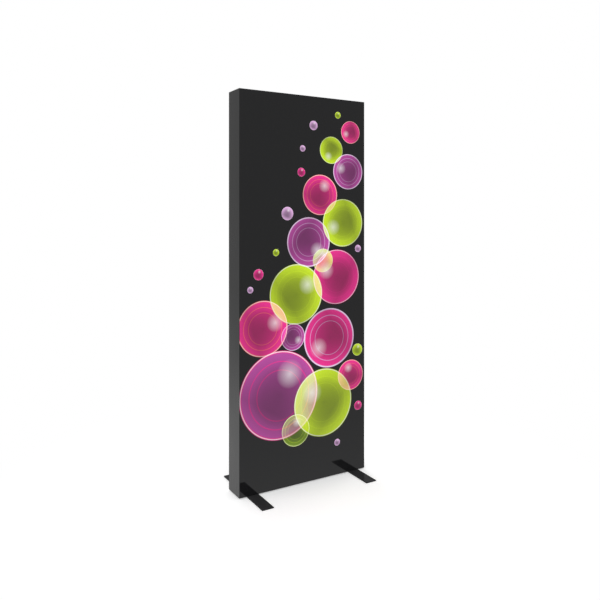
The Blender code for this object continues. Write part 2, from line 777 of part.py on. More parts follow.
def build_leds(sides):
    """An LED bar with its board on each length of upright."""
    half = LED_BAR_WIDTH / 2
    low = CHAMBER_TOP + GAP
    channel = [
        (low, -half),
        (low + LED_BAR_HEIGHT, -half),
        (low + LED_BAR_HEIGHT, -half + LED_BAR_WALL),
        (low + LED_BAR_WALL, -half + LED_BAR_WALL),
        (low + LED_BAR_WALL, half - LED_BAR_WALL),
        (low + LED_BAR_HEIGHT, half - LED_BAR_WALL),
        (low + LED_BAR_HEIGHT, half),
        (low, half),
    ]
    for side in UPRIGHTS:
        for part, (start, end) in LED_SPANS.items():
            prism(f"{side}_led_bar_{part}", [channel], start, end, "Z", BARE_ALUMINIUM, sides[side])
            build_board(f"{side}_led_board_{part}", start, end, sides[side])


def build_board(name, start, end, side):
    """A circuit board with a row of lenses and a connector at each end."""
    half = LED_BAR_WIDTH / 2 - LED_BAR_WALL - GAP
    board = box(name, (BOARD_LOW, -half, start), (BOARD_TOP, half, end), LED_BOARD, side)
    count = int((end - start - 2 * CONNECTOR_LENGTH) / LED_PITCH)
    first = (start + end) / 2 - LED_PITCH * (count - 1) / 2
    sunk = LED_BOARD_THICKNESS / 2
    mesh = bpy.data.meshes.new(f"{name}_lenses")
    bm = bmesh.new()
    turn = Matrix.Rotation(math.pi / 2, 4, "Y")
    for i in range(count):
        place = Matrix.Translation((BOARD_TOP + (LENS_HEIGHT - sunk) / 2, 0, first + i * LED_PITCH))
        bmesh.ops.create_cone(
            bm,
            cap_ends=True,
            segments=LENS_STEPS,
            radius1=LENS_RADIUS,
            radius2=LENS_TOP_RADIUS,
            depth=LENS_HEIGHT + sunk,
            matrix=place @ turn,
        )
    for z in (start + CONNECTOR_LENGTH / 2, end - CONNECTOR_LENGTH / 2):
        block = bmesh.ops.create_cube(bm, size=1)["verts"]
        bmesh.ops.scale(bm, vec=(CONNECTOR_HEIGHT + sunk, CONNECTOR_WIDTH, CONNECTOR_LENGTH), verts=block)
        bmesh.ops.translate(bm, vec=(BOARD_TOP + (CONNECTOR_HEIGHT - sunk) / 2, 0, z), verts=block)
    bm.to_mesh(mesh)
    bm.free()
    combine(board, add_object(mesh.name, mesh, None, side), "UNION")


# Driver in the bottom rail


def build_driver():
    """A slim driver in the rear channel of the bottom rail, under two saddle clips."""
    floor = BASE + WALL + GAP
    top = floor + DRIVER_HEIGHT
    half = DRIVER_WIDTH / 2
    driver = box(
        "led_driver",
        (-DRIVER_LENGTH / 2, CHANNEL_MIDDLE - half, floor),
        (DRIVER_LENGTH / 2, CHANNEL_MIDDLE + half, top),
        WHITE_PLASTIC,
    )
    edges = driver.modifiers.new("edges", "BEVEL")
    edges.width = DRIVER_EDGE
    edges.segments = 1
    inner, outer = half + GAP, half + GAP + CLIP_STRAP
    outline = [
        (-outer - CLIP_FOOT, floor),
        (-inner, floor),
        (-inner, top + GAP),
        (inner, top + GAP),
        (inner, floor),
        (outer + CLIP_FOOT, floor),
        (outer + CLIP_FOOT, floor + CLIP_STRAP),
        (outer, floor + CLIP_STRAP),
        (outer, top + GAP + CLIP_STRAP),
        (-outer, top + GAP + CLIP_STRAP),
        (-outer, floor + CLIP_STRAP),
        (-outer - CLIP_FOOT, floor + CLIP_STRAP),
    ]
    loop = [(CHANNEL_MIDDLE + y, z) for y, z in outline]
    for name, across in (("driver_clip_left", -1), ("driver_clip_right", 1)):
        middle = across * (DRIVER_LENGTH / 2 - CLIP_INSET)
        prism(name, [loop], middle - CLIP_LENGTH / 2, middle + CLIP_LENGTH / 2, "X", ZINC_STEEL)


# Power inlet in the right upright


def inlet_outline(half_width, low, high, radius=0):
    """Outline across the inlet's middle, between two heights measured from the inlet's own."""
    low_corner = (-CHANNEL_MIDDLE - half_width, INLET_MIDDLE + low)
    high_corner = (-CHANNEL_MIDDLE + half_width, INLET_MIDDLE + high)
    if radius:
        return rounded_rectangle(low_corner, high_corner, radius)
    return rectangle(low_corner, high_corner)


def build_inlet(side, upright):
    """Housing with socket, fuse drawer and rocker, flush in a cut-out of the upright's outer face."""
    half_width, half_height = INLET_WIDTH / 2, INLET_HEIGHT / 2
    face = inlet_outline(half_width, -half_height, half_height, INLET_CORNER_RADIUS)
    housing = prism("inlet_housing", [face], 0, INLET_DEPTH, "X", BLACK_PLASTIC, side)
    flange_half = (CHANNEL_SIDE - CHAMBER_SIDE) / 2 - GAP
    flange_height = half_height + INLET_FLANGE_REACH
    flange_outline = inlet_outline(flange_half, -flange_height, flange_height, INLET_CORNER_RADIUS)
    flange_low = WALL + GAP
    flange = prism(
        "inlet_flange", [flange_outline], flange_low, flange_low + INLET_FLANGE_THICKNESS, "X", parent=side
    )
    combine(housing, flange, "UNION")

    hole_half = half_height + GAP
    hole_outline = inlet_outline(half_width + GAP, -hole_half, hole_half, INLET_CORNER_RADIUS + GAP)
    combine(upright, prism("inlet_cut_out", [hole_outline], -OVERRUN, WALL + OVERRUN, "X", parent=side))

    build_socket(housing, side)
    build_fuse_drawer(housing, side)
    build_rocker(housing, side)
    build_inlet_screws(housing, upright, side)


def build_socket(housing, side):
    """The inlet's recess, with two cut corners, and the three pins that stand on its floor."""
    middle = INLET_MIDDLE + SOCKET_RISE
    low, high = middle - SOCKET_HEIGHT / 2, middle + SOCKET_HEIGHT / 2
    left, right = -CHANNEL_MIDDLE - SOCKET_WIDTH / 2, -CHANNEL_MIDDLE + SOCKET_WIDTH / 2
    loop = [
        (left, low),
        (right, low),
        (right, high - SOCKET_CHAMFER),
        (right - SOCKET_CHAMFER, high),
        (left + SOCKET_CHAMFER, high),
        (left, high - SOCKET_CHAMFER),
    ]
    combine(housing, prism("socket_recess", [loop], -OVERRUN, SOCKET_DEPTH, "X", parent=side))
    pins = (("live", -PIN_SPACING, 0), ("earth", 0, EARTH_PIN_RISE), ("neutral", PIN_SPACING, 0))
    for name, across, rise in pins:
        pin_v, pin_z = -CHANNEL_MIDDLE + across, middle - EARTH_PIN_RISE / 2 + rise
        pin = box(
            f"{name}_pin",
            (SOCKET_DEPTH - PIN_LENGTH, pin_v - PIN_WIDTH / 2, pin_z - PIN_HEIGHT / 2),
            (SOCKET_DEPTH + OVERRUN, pin_v + PIN_WIDTH / 2, pin_z + PIN_HEIGHT / 2),
            parent=side,
        )
        combine(housing, pin, "UNION")


def build_fuse_drawer(housing, side):
    """A drawer that slides out of the housing, with a finger notch and a fuse in its tray."""
    half = DRAWER_WIDTH / 2
    low, high = DRAWER_RISE - DRAWER_HEIGHT / 2, DRAWER_RISE + DRAWER_HEIGHT / 2
    slot = inlet_outline(half + GAP, low - GAP, high + GAP)
    combine(housing, prism("drawer_slot", [slot], -OVERRUN, DRAWER_DEPTH + GAP, "X", parent=side))
    front = inlet_outline(half, low, high)
    drawer = prism("fuse_drawer", [front], 0, DRAWER_DEPTH, "X", BLACK_PLASTIC, side)
    tray_half = FUSE_LENGTH / 2 + GAP
    tray_low = DRAWER_DEPTH - DRAWER_TRAY_WALL - 2 * (FUSE_RADIUS + GAP)
    tray_floor = low + DRAWER_TRAY_WALL
    tray = inlet_outline(tray_half, tray_floor, high + OVERRUN)
    tray_high = DRAWER_DEPTH - DRAWER_TRAY_WALL
    combine(drawer, prism("drawer_tray", [tray], tray_low, tray_high, "X", parent=side))
    notch = inlet_outline(half / 2, high - DRAWER_NOTCH, high + OVERRUN)
    combine(drawer, prism("drawer_notch", [notch], -OVERRUN, 2 * DRAWER_NOTCH, "X", parent=side))
    place = (
        tray_low + FUSE_RADIUS + GAP,
        -CHANNEL_MIDDLE,
        INLET_MIDDLE + tray_floor + GAP + FUSE_RADIUS,
    )
    end, cap = FUSE_LENGTH / 2, FUSE_LENGTH / 2 - FUSE_CAP_LENGTH
    glass = FUSE_RADIUS - FUSE_GLASS_STEP
    profile = [
        (0, end),
        (FUSE_RADIUS, end),
        (FUSE_RADIUS, cap),
        (glass, cap),
        (glass, -cap),
        (FUSE_RADIUS, -cap),
        (FUSE_RADIUS, -end),
        (0, -end),
    ]
    fuse = turned("fuse", profile, SCREW_STEPS, GLASS_FUSE, side)
    fuse.location = place
    fuse.rotation_euler = (math.pi / 2, 0, 0)


def build_rocker(housing, side):
    """A rocker on a pivot that runs up and down. It rests tilted, and its faces stay inside the recess."""
    reach = ROCKER_LENGTH / 2
    pocket_depth = ROCKER_PIVOT_DEPTH + reach + 2 * GAP
    pocket_half = math.hypot(reach, ROCKER_END_RISE) + GAP
    low, high = ROCKER_RISE - ROCKER_WIDTH / 2, ROCKER_RISE + ROCKER_WIDTH / 2
    pocket = inlet_outline(pocket_half, low - GAP, high + GAP)
    combine(housing, prism("rocker_pocket", [pocket], -OVERRUN, pocket_depth, "X", parent=side))
    loop = [
        (-ROCKER_END_RISE, -reach),
        *arc((0, 0), reach, -90, 90, ROCKER_STEPS),
        (-ROCKER_END_RISE, reach),
        (-ROCKER_MIDDLE_RISE, 0),
    ]
    half = ROCKER_WIDTH / 2
    rocker = prism("inlet_rocker", [loop], -half, half, "Z", BLACK_PLASTIC, side)
    rocker.location = (ROCKER_PIVOT_DEPTH, -CHANNEL_MIDDLE, INLET_MIDDLE + ROCKER_RISE)
    rocker.rotation_euler = (0, 0, ROCKER_TILT)


def build_inlet_screws(housing, upright, side):
    """Two countersunk screws through the upright's wall into the housing's flange."""
    end = WALL + GAP + INLET_FLANGE_THICKNESS
    for name, across in (("inlet_screw_lower", -1), ("inlet_screw_upper", 1)):
        place = (0, -CHANNEL_MIDDLE, INLET_MIDDLE + across * INLET_SCREW_RISE)
        profile = countersunk_profile(INLET_SCREW_HEAD_RADIUS, INLET_SCREW_RADIUS, 0, end)
        screw = turned(name, profile, SCREW_STEPS, ZINC_STEEL, side)
        screw.location = place
        screw.rotation_euler = (0, math.pi / 2, 0)
        head = INLET_SCREW_HEAD_RADIUS - INLET_SCREW_RADIUS + GAP
        hole_radius = INLET_SCREW_RADIUS + GAP
        hole = rod(f"{name}_hole", place, hole_radius, 2 * (end + OVERRUN), "X", SCREW_STEPS, parent=side)
        sink_place = (head / 2 - GAP, place[1], place[2])
        sink = rod(
            f"{name}_sink",
            sink_place,
            hole_radius + head,
            head,
            "X",
            SCREW_STEPS,
            parent=side,
            end_radius=hole_radius,
        )
        combine(upright, hole)
        combine(upright, sink)
        combine(housing, hole)


# Leads inside the frame


def build_leads(sides):
    """Mains to the driver, the driver to each side, and a jumper past the crossbar on each side."""
    for side in UPRIGHTS:
        lead(f"{side}_led_jumper", jumper_route(), JUMPER_RADIUS, JUMPER_STEP, sides[side])
    lead("left_led_lead", left_route(), LED_LEAD_RADIUS, LED_LEAD_STEP)
    lead("right_led_lead", right_route(), LED_LEAD_RADIUS, LED_LEAD_STEP)
    lead("mains_lead", mains_route(), MAINS_LEAD_RADIUS, MAINS_LEAD_STEP)


def jumper_route():
    """Out of the lower connector, over the lip, past the crossbar's bracket and back to the upper one."""
    shoulder = LIP_OUTER + GAP + JUMPER_RADIUS
    seat = CHAMBER_TOP + GAP + JUMPER_RADIUS
    over = HOOK_TOP + GAP + 3 * JUMPER_RADIUS / 2
    low, high = LED_SPANS["lower"][1] + GAP, LED_SPANS["upper"][0] - GAP
    room = (high - low) / 2
    rise = [(LEAD_ENTRY, 0, share * room) for share in JUMPER_STRAIGHT_SHARES]
    rise += [
        (seat + out_share * (over - seat), across_share * shoulder, up_share * room)
        for up_share, across_share, out_share in JUMPER_SHARES
    ]
    up = [(u, v, low + z) for u, v, z in rise]
    down = [(u, v, high - z) for u, v, z in reversed(rise[:-1])]
    return up + down


def channel_floor(radius):
    """Height of a lead's middle as it lies in a channel, measured from the frame's outer face."""
    return WALL + 2 * GAP + radius


def channel_run(first, last):
    """Points along a channel between two ends, easing from one side of it to the other."""
    first, last = Vector(first), Vector(last)
    count = round((last - first).length / LEAD_RUN_STEP)
    points = []
    for i in range(1, count):
        share = i / count
        point = first.lerp(last, share)
        point.y = first.y + (last.y - first.y) * share * share * (3 - 2 * share)
        points.append(tuple(point))
    return points


def corner_and_climb(side, channel):
    """Along the bottom rail's channel, round the corner, up the upright and over its lip to the board."""
    outwards = -1 if side == "left" else 1
    seat = channel_floor(LED_LEAD_RADIUS)
    v = channel * CHANNEL_MIDDLE
    centre = seat + LEAD_BEND_RADIUS
    over = HOOK_TOP + 2 * LED_LEAD_RADIUS
    board = LED_SPANS["lower"][0] - GAP
    start = board - LEAD_CLIMB
    points = [(centre + i * LED_LEAD_STEP, v, BASE + seat) for i in (2, 1)]
    turn = arc((centre, centre), LEAD_BEND_RADIUS, 270, 180, LEAD_BEND_STEPS)
    points += [(u, v, BASE + z) for u, z in turn]
    points.append((seat, v, start - LED_LEAD_STEP))
    points += [
        (seat + out_share * (over - seat), across_share * v, start + up_share * LEAD_CLIMB)
        for up_share, across_share, out_share in CLIMB_SHARES
    ]
    points += [(LEAD_ENTRY, 0, start + share * LEAD_CLIMB) for share in CLIMB_STRAIGHT_SHARES]
    return [(outwards * (HALF_WIDTH - u), y, z) for u, y, z in points]


def left_route():
    """Straight out of the driver's left end and along the rear channel to the left upright."""
    end = -DRIVER_LENGTH / 2 - GAP
    z = BASE + channel_floor(LED_LEAD_RADIUS)
    y = CHANNEL_MIDDLE + LED_LEAD_OFFSET
    start = [(end - i * LED_LEAD_STEP, y, z) for i in range(3)]
    finish = corner_and_climb("left", 1)
    return start + channel_run(start[-1], finish[0]) + finish


def right_route():
    """Out of the driver's left end, back over the chamber in a half turn, and along the front channel."""
    end = -DRIVER_LENGTH / 2 - GAP
    seat = BASE + channel_floor(LED_LEAD_RADIUS)
    y_start = CHANNEL_MIDDLE - LED_LEAD_OFFSET
    start = [(end - i * LED_LEAD_STEP, y_start, seat) for i in range(3)]
    turn_start = end - 3 * LED_LEAD_STEP
    radius = (y_start + CHANNEL_MIDDLE) / 2
    rise = HOOK_TOP + 4 * LED_LEAD_RADIUS - channel_floor(LED_LEAD_RADIUS)
    for i in range(TURN_STEPS + 1):
        angle = math.pi * i / TURN_STEPS
        x = turn_start - radius * math.sin(angle)
        y = (y_start - CHANNEL_MIDDLE) / 2 + radius * math.cos(angle)
        start.append((x, y, seat + rise * math.sin(angle) ** TURN_SHARPNESS))
    start += [(turn_start + i * LED_LEAD_STEP, -CHANNEL_MIDDLE, seat) for i in (1, 2, 3)]
    finish = corner_and_climb("right", -1)
    return start + channel_run(start[-1], finish[0]) + finish


def mains_route():
    """From the back of the inlet down to the bottom rail's rear channel and along it to the driver."""
    floor = BASE + channel_floor(MAINS_LEAD_RADIUS)
    inlet_back = HALF_WIDTH - INLET_DEPTH - GAP
    inlet_z = INLET_MIDDLE + SOCKET_RISE
    driver_end = DRIVER_LENGTH / 2 + GAP
    points = [(inlet_back, CHANNEL_MIDDLE, inlet_z)]
    for i in range(MAINS_STEPS + 1):
        x = inlet_back - MAINS_LEAD_STEP - MAINS_RUN * i / MAINS_STEPS
        height = (1 + math.cos(math.pi * i / MAINS_STEPS)) / 2
        points.append((x, CHANNEL_MIDDLE, floor + (inlet_z - floor) * height))
    finish = [(driver_end + i * MAINS_LEAD_STEP, CHANNEL_MIDDLE, floor) for i in (2, 1, 0)]
    return points + channel_run(points[-1], finish[0]) + finish


def main():
    """Builds the whole light box."""
    sides = {side: side_empty(side) for side in SIDES}
    frame = build_frame(sides)
    build_brackets(sides, frame)
    build_splices(sides, frame)
    build_crossbar(sides)
    build_feet(frame)
    build_fabric(sides)
    build_leds(sides)
    build_driver()
    build_inlet(sides["right"], frame["right", "lower"])
    build_leads(sides)


main()
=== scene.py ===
# %% [markdown]
# # A free-standing light box, dressed for its picture
#
# The real object is a shallow box, 914 mm wide, 2438 mm high and 152 mm deep. Its frame is black
# aluminium, its front is a printed fabric stretched into a groove all round, and its back is a
# black-out fabric held the same way. It stands on two flat steel plates. This script gives each
# piece its finish, and makes the cloth, the silicone edges, the lamps and the power inlet again
# as finer surfaces.

# %% Load the measured model
import json

import bmesh
import bpy
import numpy as np
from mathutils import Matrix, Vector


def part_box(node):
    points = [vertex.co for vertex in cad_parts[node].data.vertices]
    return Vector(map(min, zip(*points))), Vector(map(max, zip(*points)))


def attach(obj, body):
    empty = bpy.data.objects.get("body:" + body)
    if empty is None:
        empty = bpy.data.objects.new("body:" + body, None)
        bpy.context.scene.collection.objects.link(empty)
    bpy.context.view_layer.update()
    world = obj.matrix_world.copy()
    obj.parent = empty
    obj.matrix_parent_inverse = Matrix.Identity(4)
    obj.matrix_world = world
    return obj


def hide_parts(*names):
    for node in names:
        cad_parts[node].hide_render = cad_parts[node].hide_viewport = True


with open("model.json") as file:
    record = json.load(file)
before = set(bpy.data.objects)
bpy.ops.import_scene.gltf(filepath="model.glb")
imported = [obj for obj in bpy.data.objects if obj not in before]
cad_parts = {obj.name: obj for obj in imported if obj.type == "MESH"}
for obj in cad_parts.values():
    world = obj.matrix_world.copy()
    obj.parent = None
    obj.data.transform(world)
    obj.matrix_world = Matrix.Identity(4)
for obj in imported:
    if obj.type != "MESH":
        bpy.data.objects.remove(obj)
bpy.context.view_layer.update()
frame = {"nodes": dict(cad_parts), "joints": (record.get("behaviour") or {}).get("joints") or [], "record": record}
scene = bpy.context.scene
MM = 0.001

body_of_node = {}
for body, members in frame["record"]["behaviour"]["bodies"].items():
    body_of_node.update(dict.fromkeys(members, body))

rail_low, rail_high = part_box("bottom_rail")
HALF_WIDTH = rail_high.x
BASE = rail_low.z
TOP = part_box("top_rail")[1].z


def add_object(name, data):
    """A new object in the scene."""
    made = bpy.data.objects.new(name, data)
    scene.collection.objects.link(made)
    return made


print(f"{len(body_of_node)} nodes, frame {2 * HALF_WIDTH:.4f} m wide and {TOP - BASE:.4f} m high")


# %% [markdown]
# ## The photograph's camera
#
# The picture was taken from the left, turned 30 degrees from the box's front. Its upright edges
# stay upright in the picture, so the camera was level. A level camera at two thirds of the
# box's height has too much above it in view and too little below, so the lens is shifted
# down. The place, the turn and the lens were solved from the corners of the face.

# %% Camera
CAMERA_PLACE = (-2.022, -3.465, 1.681)
CAMERA_TURN = np.radians(30.326)
CAMERA_LENS = 37.55
CAMERA_SHIFT = -0.139
SENSOR_WIDTH = 36.0

camera_data = bpy.data.cameras.new("camera")
camera_data.lens = CAMERA_LENS
camera_data.sensor_width = SENSOR_WIDTH
camera_data.shift_y = CAMERA_SHIFT
camera = add_object("camera", camera_data)
camera.location = CAMERA_PLACE
camera.rotation_euler = (np.pi / 2, 0, -CAMERA_TURN)
scene.camera = camera
scene.view_settings.view_transform = "Standard"
print("camera at", CAMERA_PLACE)


# %% [markdown]
# ## Colours and nodes
#
# Colours are written in sRGB hex, as a colour card or a screen gives them, and Blender mixes light
# in linear values, so one function turns one into the other. One small function adds a node, sets
# it and links it. No real surface is one flat colour, so the finishes share three patterns: a
# grain, which is noise with a real size in metres, a tint between two colours, and an unevenness
# of gloss and height. Moulded, plated and cast pieces need just these, so a function makes them.

# %% Helpers for materials
def linear(hex_colour, strength=1.0):
    """An sRGB hex colour as linear red, green and blue at a strength, with an alpha of 1."""
    srgb = np.array([int(hex_colour[i : i + 2], 16) for i in (1, 3, 5)]) / 255
    colour = np.where(srgb <= 0.04045, srgb / 12.92, ((srgb + 0.055) / 1.055) ** 2.4)
    return (*(colour * strength).tolist(), 1.0)


def add_node(tree, kind, inputs=None, stops=None, **settings):
    """Adds a node with its settings, its inputs and a ramp's stops.

    An input is a value, a socket to link, or a node whose first output in use is linked.
    """
    made = tree.nodes.new("ShaderNode" + kind)
    for name, value in settings.items():
        setattr(made, name, value)
    for name, value in (inputs or {}).items():
        if isinstance(value, bpy.types.Node):
            value = next(output for output in value.outputs if output.enabled)
        if isinstance(value, bpy.types.NodeSocket):
            tree.links.new(value, made.inputs[name])
        else:
            made.inputs[name].default_value = value
    for number, (place, colour) in enumerate(stops or []):
        ramp = made.color_ramp.elements
        stop = ramp[number] if number < 2 else ramp.new(place)
        stop.position, stop.color = place, colour
    return made


def new_tree(name):
    """A new material and its empty node tree."""
    material = bpy.data.materials.new(name)
    material.use_nodes = True
    material.node_tree.nodes.clear()
    return material, material.node_tree


def finish(tree, inputs):
    """Closes a tree with a Principled shader that has these inputs."""
    add_node(tree, "OutputMaterial", {"Surface": add_node(tree, "BsdfPrincipled", inputs)})


def grain(tree, size, detail=2.0, drawn_out=(1, 1, 1)):
    """Noise with grains of this size in metres, drawn out by three factors along X, Y and Z."""
    place = add_node(tree, "TexCoord").outputs["Object"]
    scale = [1 / (size * factor) for factor in drawn_out]
    grid = add_node(tree, "Mapping", {"Vector": place, "Scale": scale})
    return add_node(tree, "TexNoise", {"Vector": grid, "Scale": 1.0, "Detail": detail})


NOISE_RANGE = {"From Min": 0.3, "From Max": 0.7}  # nearly all values of a noise lie in it


def tint(tree, noise, first, second):
    """A colour between two, by a noise."""
    share = add_node(tree, "MapRange", {"Value": noise, **NOISE_RANGE})
    return add_node(tree, "Mix", {0: share, 6: linear(first), 7: linear(second)}, data_type="RGBA")


def uneven(tree, gloss, low, high, bumps, depth):
    """Roughness between two limits from one noise, and bumps of a depth in metres from another."""
    limits = {"Value": gloss, **NOISE_RANGE, "To Min": low, "To Max": high}
    return {
        "Roughness": add_node(tree, "MapRange", limits),
        "Normal": add_node(tree, "Bump", {"Height": bumps, "Distance": depth}),
    }


def surface(name, tints, gloss, relief, inputs, drawn_out=(1, 1, 1)):
    """A material with two tints, a range of roughness and a relief, each from its own noise.

    Tints are two colours and a size, gloss is two limits and a size, relief is a size and a depth.
    These sizes and the depth are in millimetres.
    """
    material, tree = new_tree(name)
    (first, second, patch), (low, high, cloud), (grit, depth) = tints, gloss, relief
    mottle = grain(tree, patch * MM, 3.0)
    shine = grain(tree, cloud * MM, 3.0, drawn_out)
    bumps = grain(tree, grit * MM, 3.0, drawn_out)
    colour = {"Base Color": tint(tree, mottle, first, second)}
    finish(tree, colour | inputs | uneven(tree, shine, low, high, bumps, depth * MM))
    return material


print("a mid grey of #808080 is", round(linear("#808080")[0], 3), "in linear light")


# %% [markdown]
# ## Light, floor and background
#
# The picture's background is pure white. Lamps strong enough to make it so would bleach the black
# box, so the world is white only to the eye and through glass. The box itself is lit by a
# softer grey sky and four large soft lamps, at a level at which a colour comes out as it is
# written. Reflections have a sky of their own, a little darker, because the black faces of the
# box are darkest near the top, where they mirror it.

# %% World and lamps
SKY_FOR_LIGHT = 0.6
SKY_IN_GLOSS = 0.48
WHITE = (1.0, 1.0, 1.0, 1.0)

world = bpy.data.worlds.new("white_studio")
world.use_nodes = True
scene.world = world
sky = world.node_tree
sky.nodes.clear()
rays = add_node(sky, "LightPath").outputs
eye_or_glass = {0: rays["Is Camera Ray"], 1: rays["Is Transmission Ray"]}
seen = add_node(sky, "Math", eye_or_glass, operation="MAXIMUM")
dim, gloss, white = (
    add_node(sky, "Background", {"Color": WHITE, "Strength": strength})
    for strength in (SKY_FOR_LIGHT, SKY_IN_GLOSS, 1.0)
)
not_seen = add_node(sky, "MixShader", {0: rays["Is Glossy Ray"], 1: dim, 2: gloss})
whole = add_node(sky, "MixShader", {0: seen, 1: not_seen, 2: white})
add_node(sky, "OutputWorld", {"Surface": whole})

LAMP_SIZE = 3.0
LAMP_TARGET = np.array([0.0, 0.0, 1.0])
LAMPS = {
    # name: place in metres, power in watts
    "front_softbox": ((-1.6, -4.5, 3.4), 110.0),
    "left_softbox": ((-4.6, 0.6, 2.4), 55.0),
    "right_softbox": ((4.6, 1.0, 2.4), 55.0),
    "back_softbox": ((0.6, 4.8, 3.2), 90.0),
}
for name, (place, power) in LAMPS.items():
    lamp = bpy.data.lights.new(name, "AREA")
    lamp.size = LAMP_SIZE
    lamp.energy = power
    holder = add_object(name, lamp)
    away = np.array(place) - LAMP_TARGET
    tilt = np.arctan2(np.hypot(away[0], away[1]), away[2])
    holder.location = place
    holder.rotation_euler = (tilt, 0, np.arctan2(away[0], -away[1]))
    holder.visible_camera = False
    holder.visible_glossy = False
print("lamps:", ", ".join(LAMPS))


# %% [markdown]
# The floor is a matt white sheet. Near the box it is real paint, so it keeps the box's soft shadow.
# Further out, where the lamps fade, the camera's own rays find plain white instead, and the
# floor runs into the background without a line. Glossy rays find a pool of light on the floor,
# behind the box on its left, which falls off with distance down to the level of the sky. The
# box's left side mirrors the middle of it and its front only the edge.

# %% Floor
FLOOR_SIZE = 60.0
FLOOR_LIFT = 0.24
SHADOW_REACH = (0.7, 2.0)
POOL_PLACE = (-0.7, 0.9, 0.0)
POOL_GLOW = 0.44  # how much brighter than the sky the middle of the pool is in gloss
POOL_REACH = 2.0  # metres at which half of that is left

floor_paint, tree = new_tree("matt_white_floor")
rays = add_node(tree, "LightPath").outputs
camera_ray = rays["Is Camera Ray"]
place = add_node(tree, "TexCoord").outputs["Object"]
distance = add_node(tree, "VectorMath", {0: place}, operation="LENGTH")
limits = {"Value": distance, "From Min": SHADOW_REACH[0], "From Max": SHADOW_REACH[1]}
far = add_node(tree, "MapRange", limits, interpolation_type="SMOOTHSTEP")
far_seen = add_node(tree, "Math", {0: far, 1: camera_ray}, operation="MULTIPLY")
lift = add_node(tree, "Math", {0: camera_ray, 1: FLOOR_LIFT}, operation="MULTIPLY")
paint = add_node(tree, "BsdfDiffuse", {"Color": linear("#F4F4F4")})
lifted = add_node(tree, "Emission", {"Color": WHITE, "Strength": lift})
near = add_node(tree, "AddShader", {0: paint, 1: lifted})
plain = add_node(tree, "Emission", {"Color": WHITE, "Strength": 1.0})
by_eye = add_node(tree, "MixShader", {0: far_seen, 1: near, 2: plain})
to_pool = add_node(tree, "VectorMath", {0: place, 1: POOL_PLACE}, operation="DISTANCE")
share = add_node(tree, "Math", {0: to_pool, 1: POOL_REACH}, operation="DIVIDE")
spread = add_node(tree, "Math", {0: share, 1: share, 2: 1.0}, operation="MULTIPLY_ADD")
glow = add_node(tree, "Math", {0: POOL_GLOW, 1: spread}, operation="DIVIDE")
level = add_node(tree, "Math", {0: glow, 1: SKY_IN_GLOSS}, operation="ADD")
pool = add_node(tree, "Emission", {"Color": WHITE, "Strength": level})
look = add_node(tree, "MixShader", {0: rays["Is Glossy Ray"], 1: by_eye, 2: pool})
add_node(tree, "OutputMaterial", {"Surface": look})

half = FLOOR_SIZE / 2
floor_mesh = bpy.data.meshes.new("floor")
corners = [(-half, -half, 0), (half, -half, 0), (half, half, 0), (-half, half, 0)]
floor_mesh.from_pydata(corners, [], [(0, 1, 2, 3)])
floor_mesh.materials.append(floor_paint)
add_object("floor", floor_mesh)
print(f"floor: {FLOOR_SIZE:.0f} m square")


# %% [markdown]
# ## Surfaces from formulas
#
# Most pieces lie along one side of the frame, and the four sides are alike but for their turn. So
# a piece is made in its side's own measures, which are u inwards from the outer face, v across
# the depth and w along the side, and one matrix for each side turns them into the world's.

# %% Places along a side of the frame
SIDE_AXES = {
    # side: a point of its outer face, and the directions of u, v and w
    "left": ((-HALF_WIDTH, 0, 0), ((1, 0, 0), (0, 1, 0), (0, 0, 1))),
    "right": ((HALF_WIDTH, 0, 0), ((-1, 0, 0), (0, -1, 0), (0, 0, 1))),
    "top": ((0, 0, TOP), ((0, 0, -1), (0, 1, 0), (1, 0, 0))),
    "bottom": ((0, 0, BASE), ((0, 0, 1), (0, 1, 0), (-1, 0, 0))),
}


def on_side(side, points):
    """World points from an array of a side's own u, v and w."""
    origin, axes = SIDE_AXES[side]
    return origin + points @ np.array(axes)


def span_on_side(side, node):
    """The lowest and highest u, v and w of a CAD node on a side."""
    origin, axes = SIDE_AXES[side]
    return np.sort((np.array(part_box(node)) - origin) @ np.transpose(axes), axis=0)


print("sides of the frame:", ", ".join(SIDE_AXES))


# %% [markdown]
# A new piece is one or more grids of points. Each point comes from two numbers, such as how far
# along a path and how far round a profile, and a whole grid is worked out at once as an array.
# Rows of it are joined by faces, so a tube, a turned screw and a bar share one function.

# %% Grids and their skins
def skin(points, closed=True, caps=True):
    """Faces between neighbouring points of a grid (rows, columns, 3).

    A closed grid joins its last column to its first. Caps close its first and last row.
    """
    rows, columns = points.shape[:2]
    i = np.arange(rows - 1)[:, None]
    j = np.arange(columns if closed else columns - 1)[None, :]
    right = (j + 1) % columns
    quads = (i * columns + j, i * columns + right, (i + 1) * columns + right, (i + 1) * columns + j)
    faces = np.stack(np.broadcast_arrays(*quads), -1).reshape(-1, 4).tolist()
    if caps:
        faces += [list(range(columns)), list(range((rows - 1) * columns, rows * columns))]
    return points.reshape(-1, 3), faces


def moved(some_skin, offset, turns=0):
    """A skin whose axes are passed on by a number of turns, moved by an offset."""
    points, faces = some_skin
    return np.roll(points, turns, -1) + np.array(offset), faces


def turned(profile, steps, caps=True):
    """A profile of (radius, height) turned round: r cos a, r sin a and h, for each angle a."""
    radius, height = np.array(profile, float).T[:, :, None]
    angle = np.linspace(0, 2 * np.pi, steps, endpoint=False)[None, :]
    parts = np.broadcast_arrays(radius * np.cos(angle), radius * np.sin(angle), height)
    return skin(np.stack(parts, -1), caps=caps)


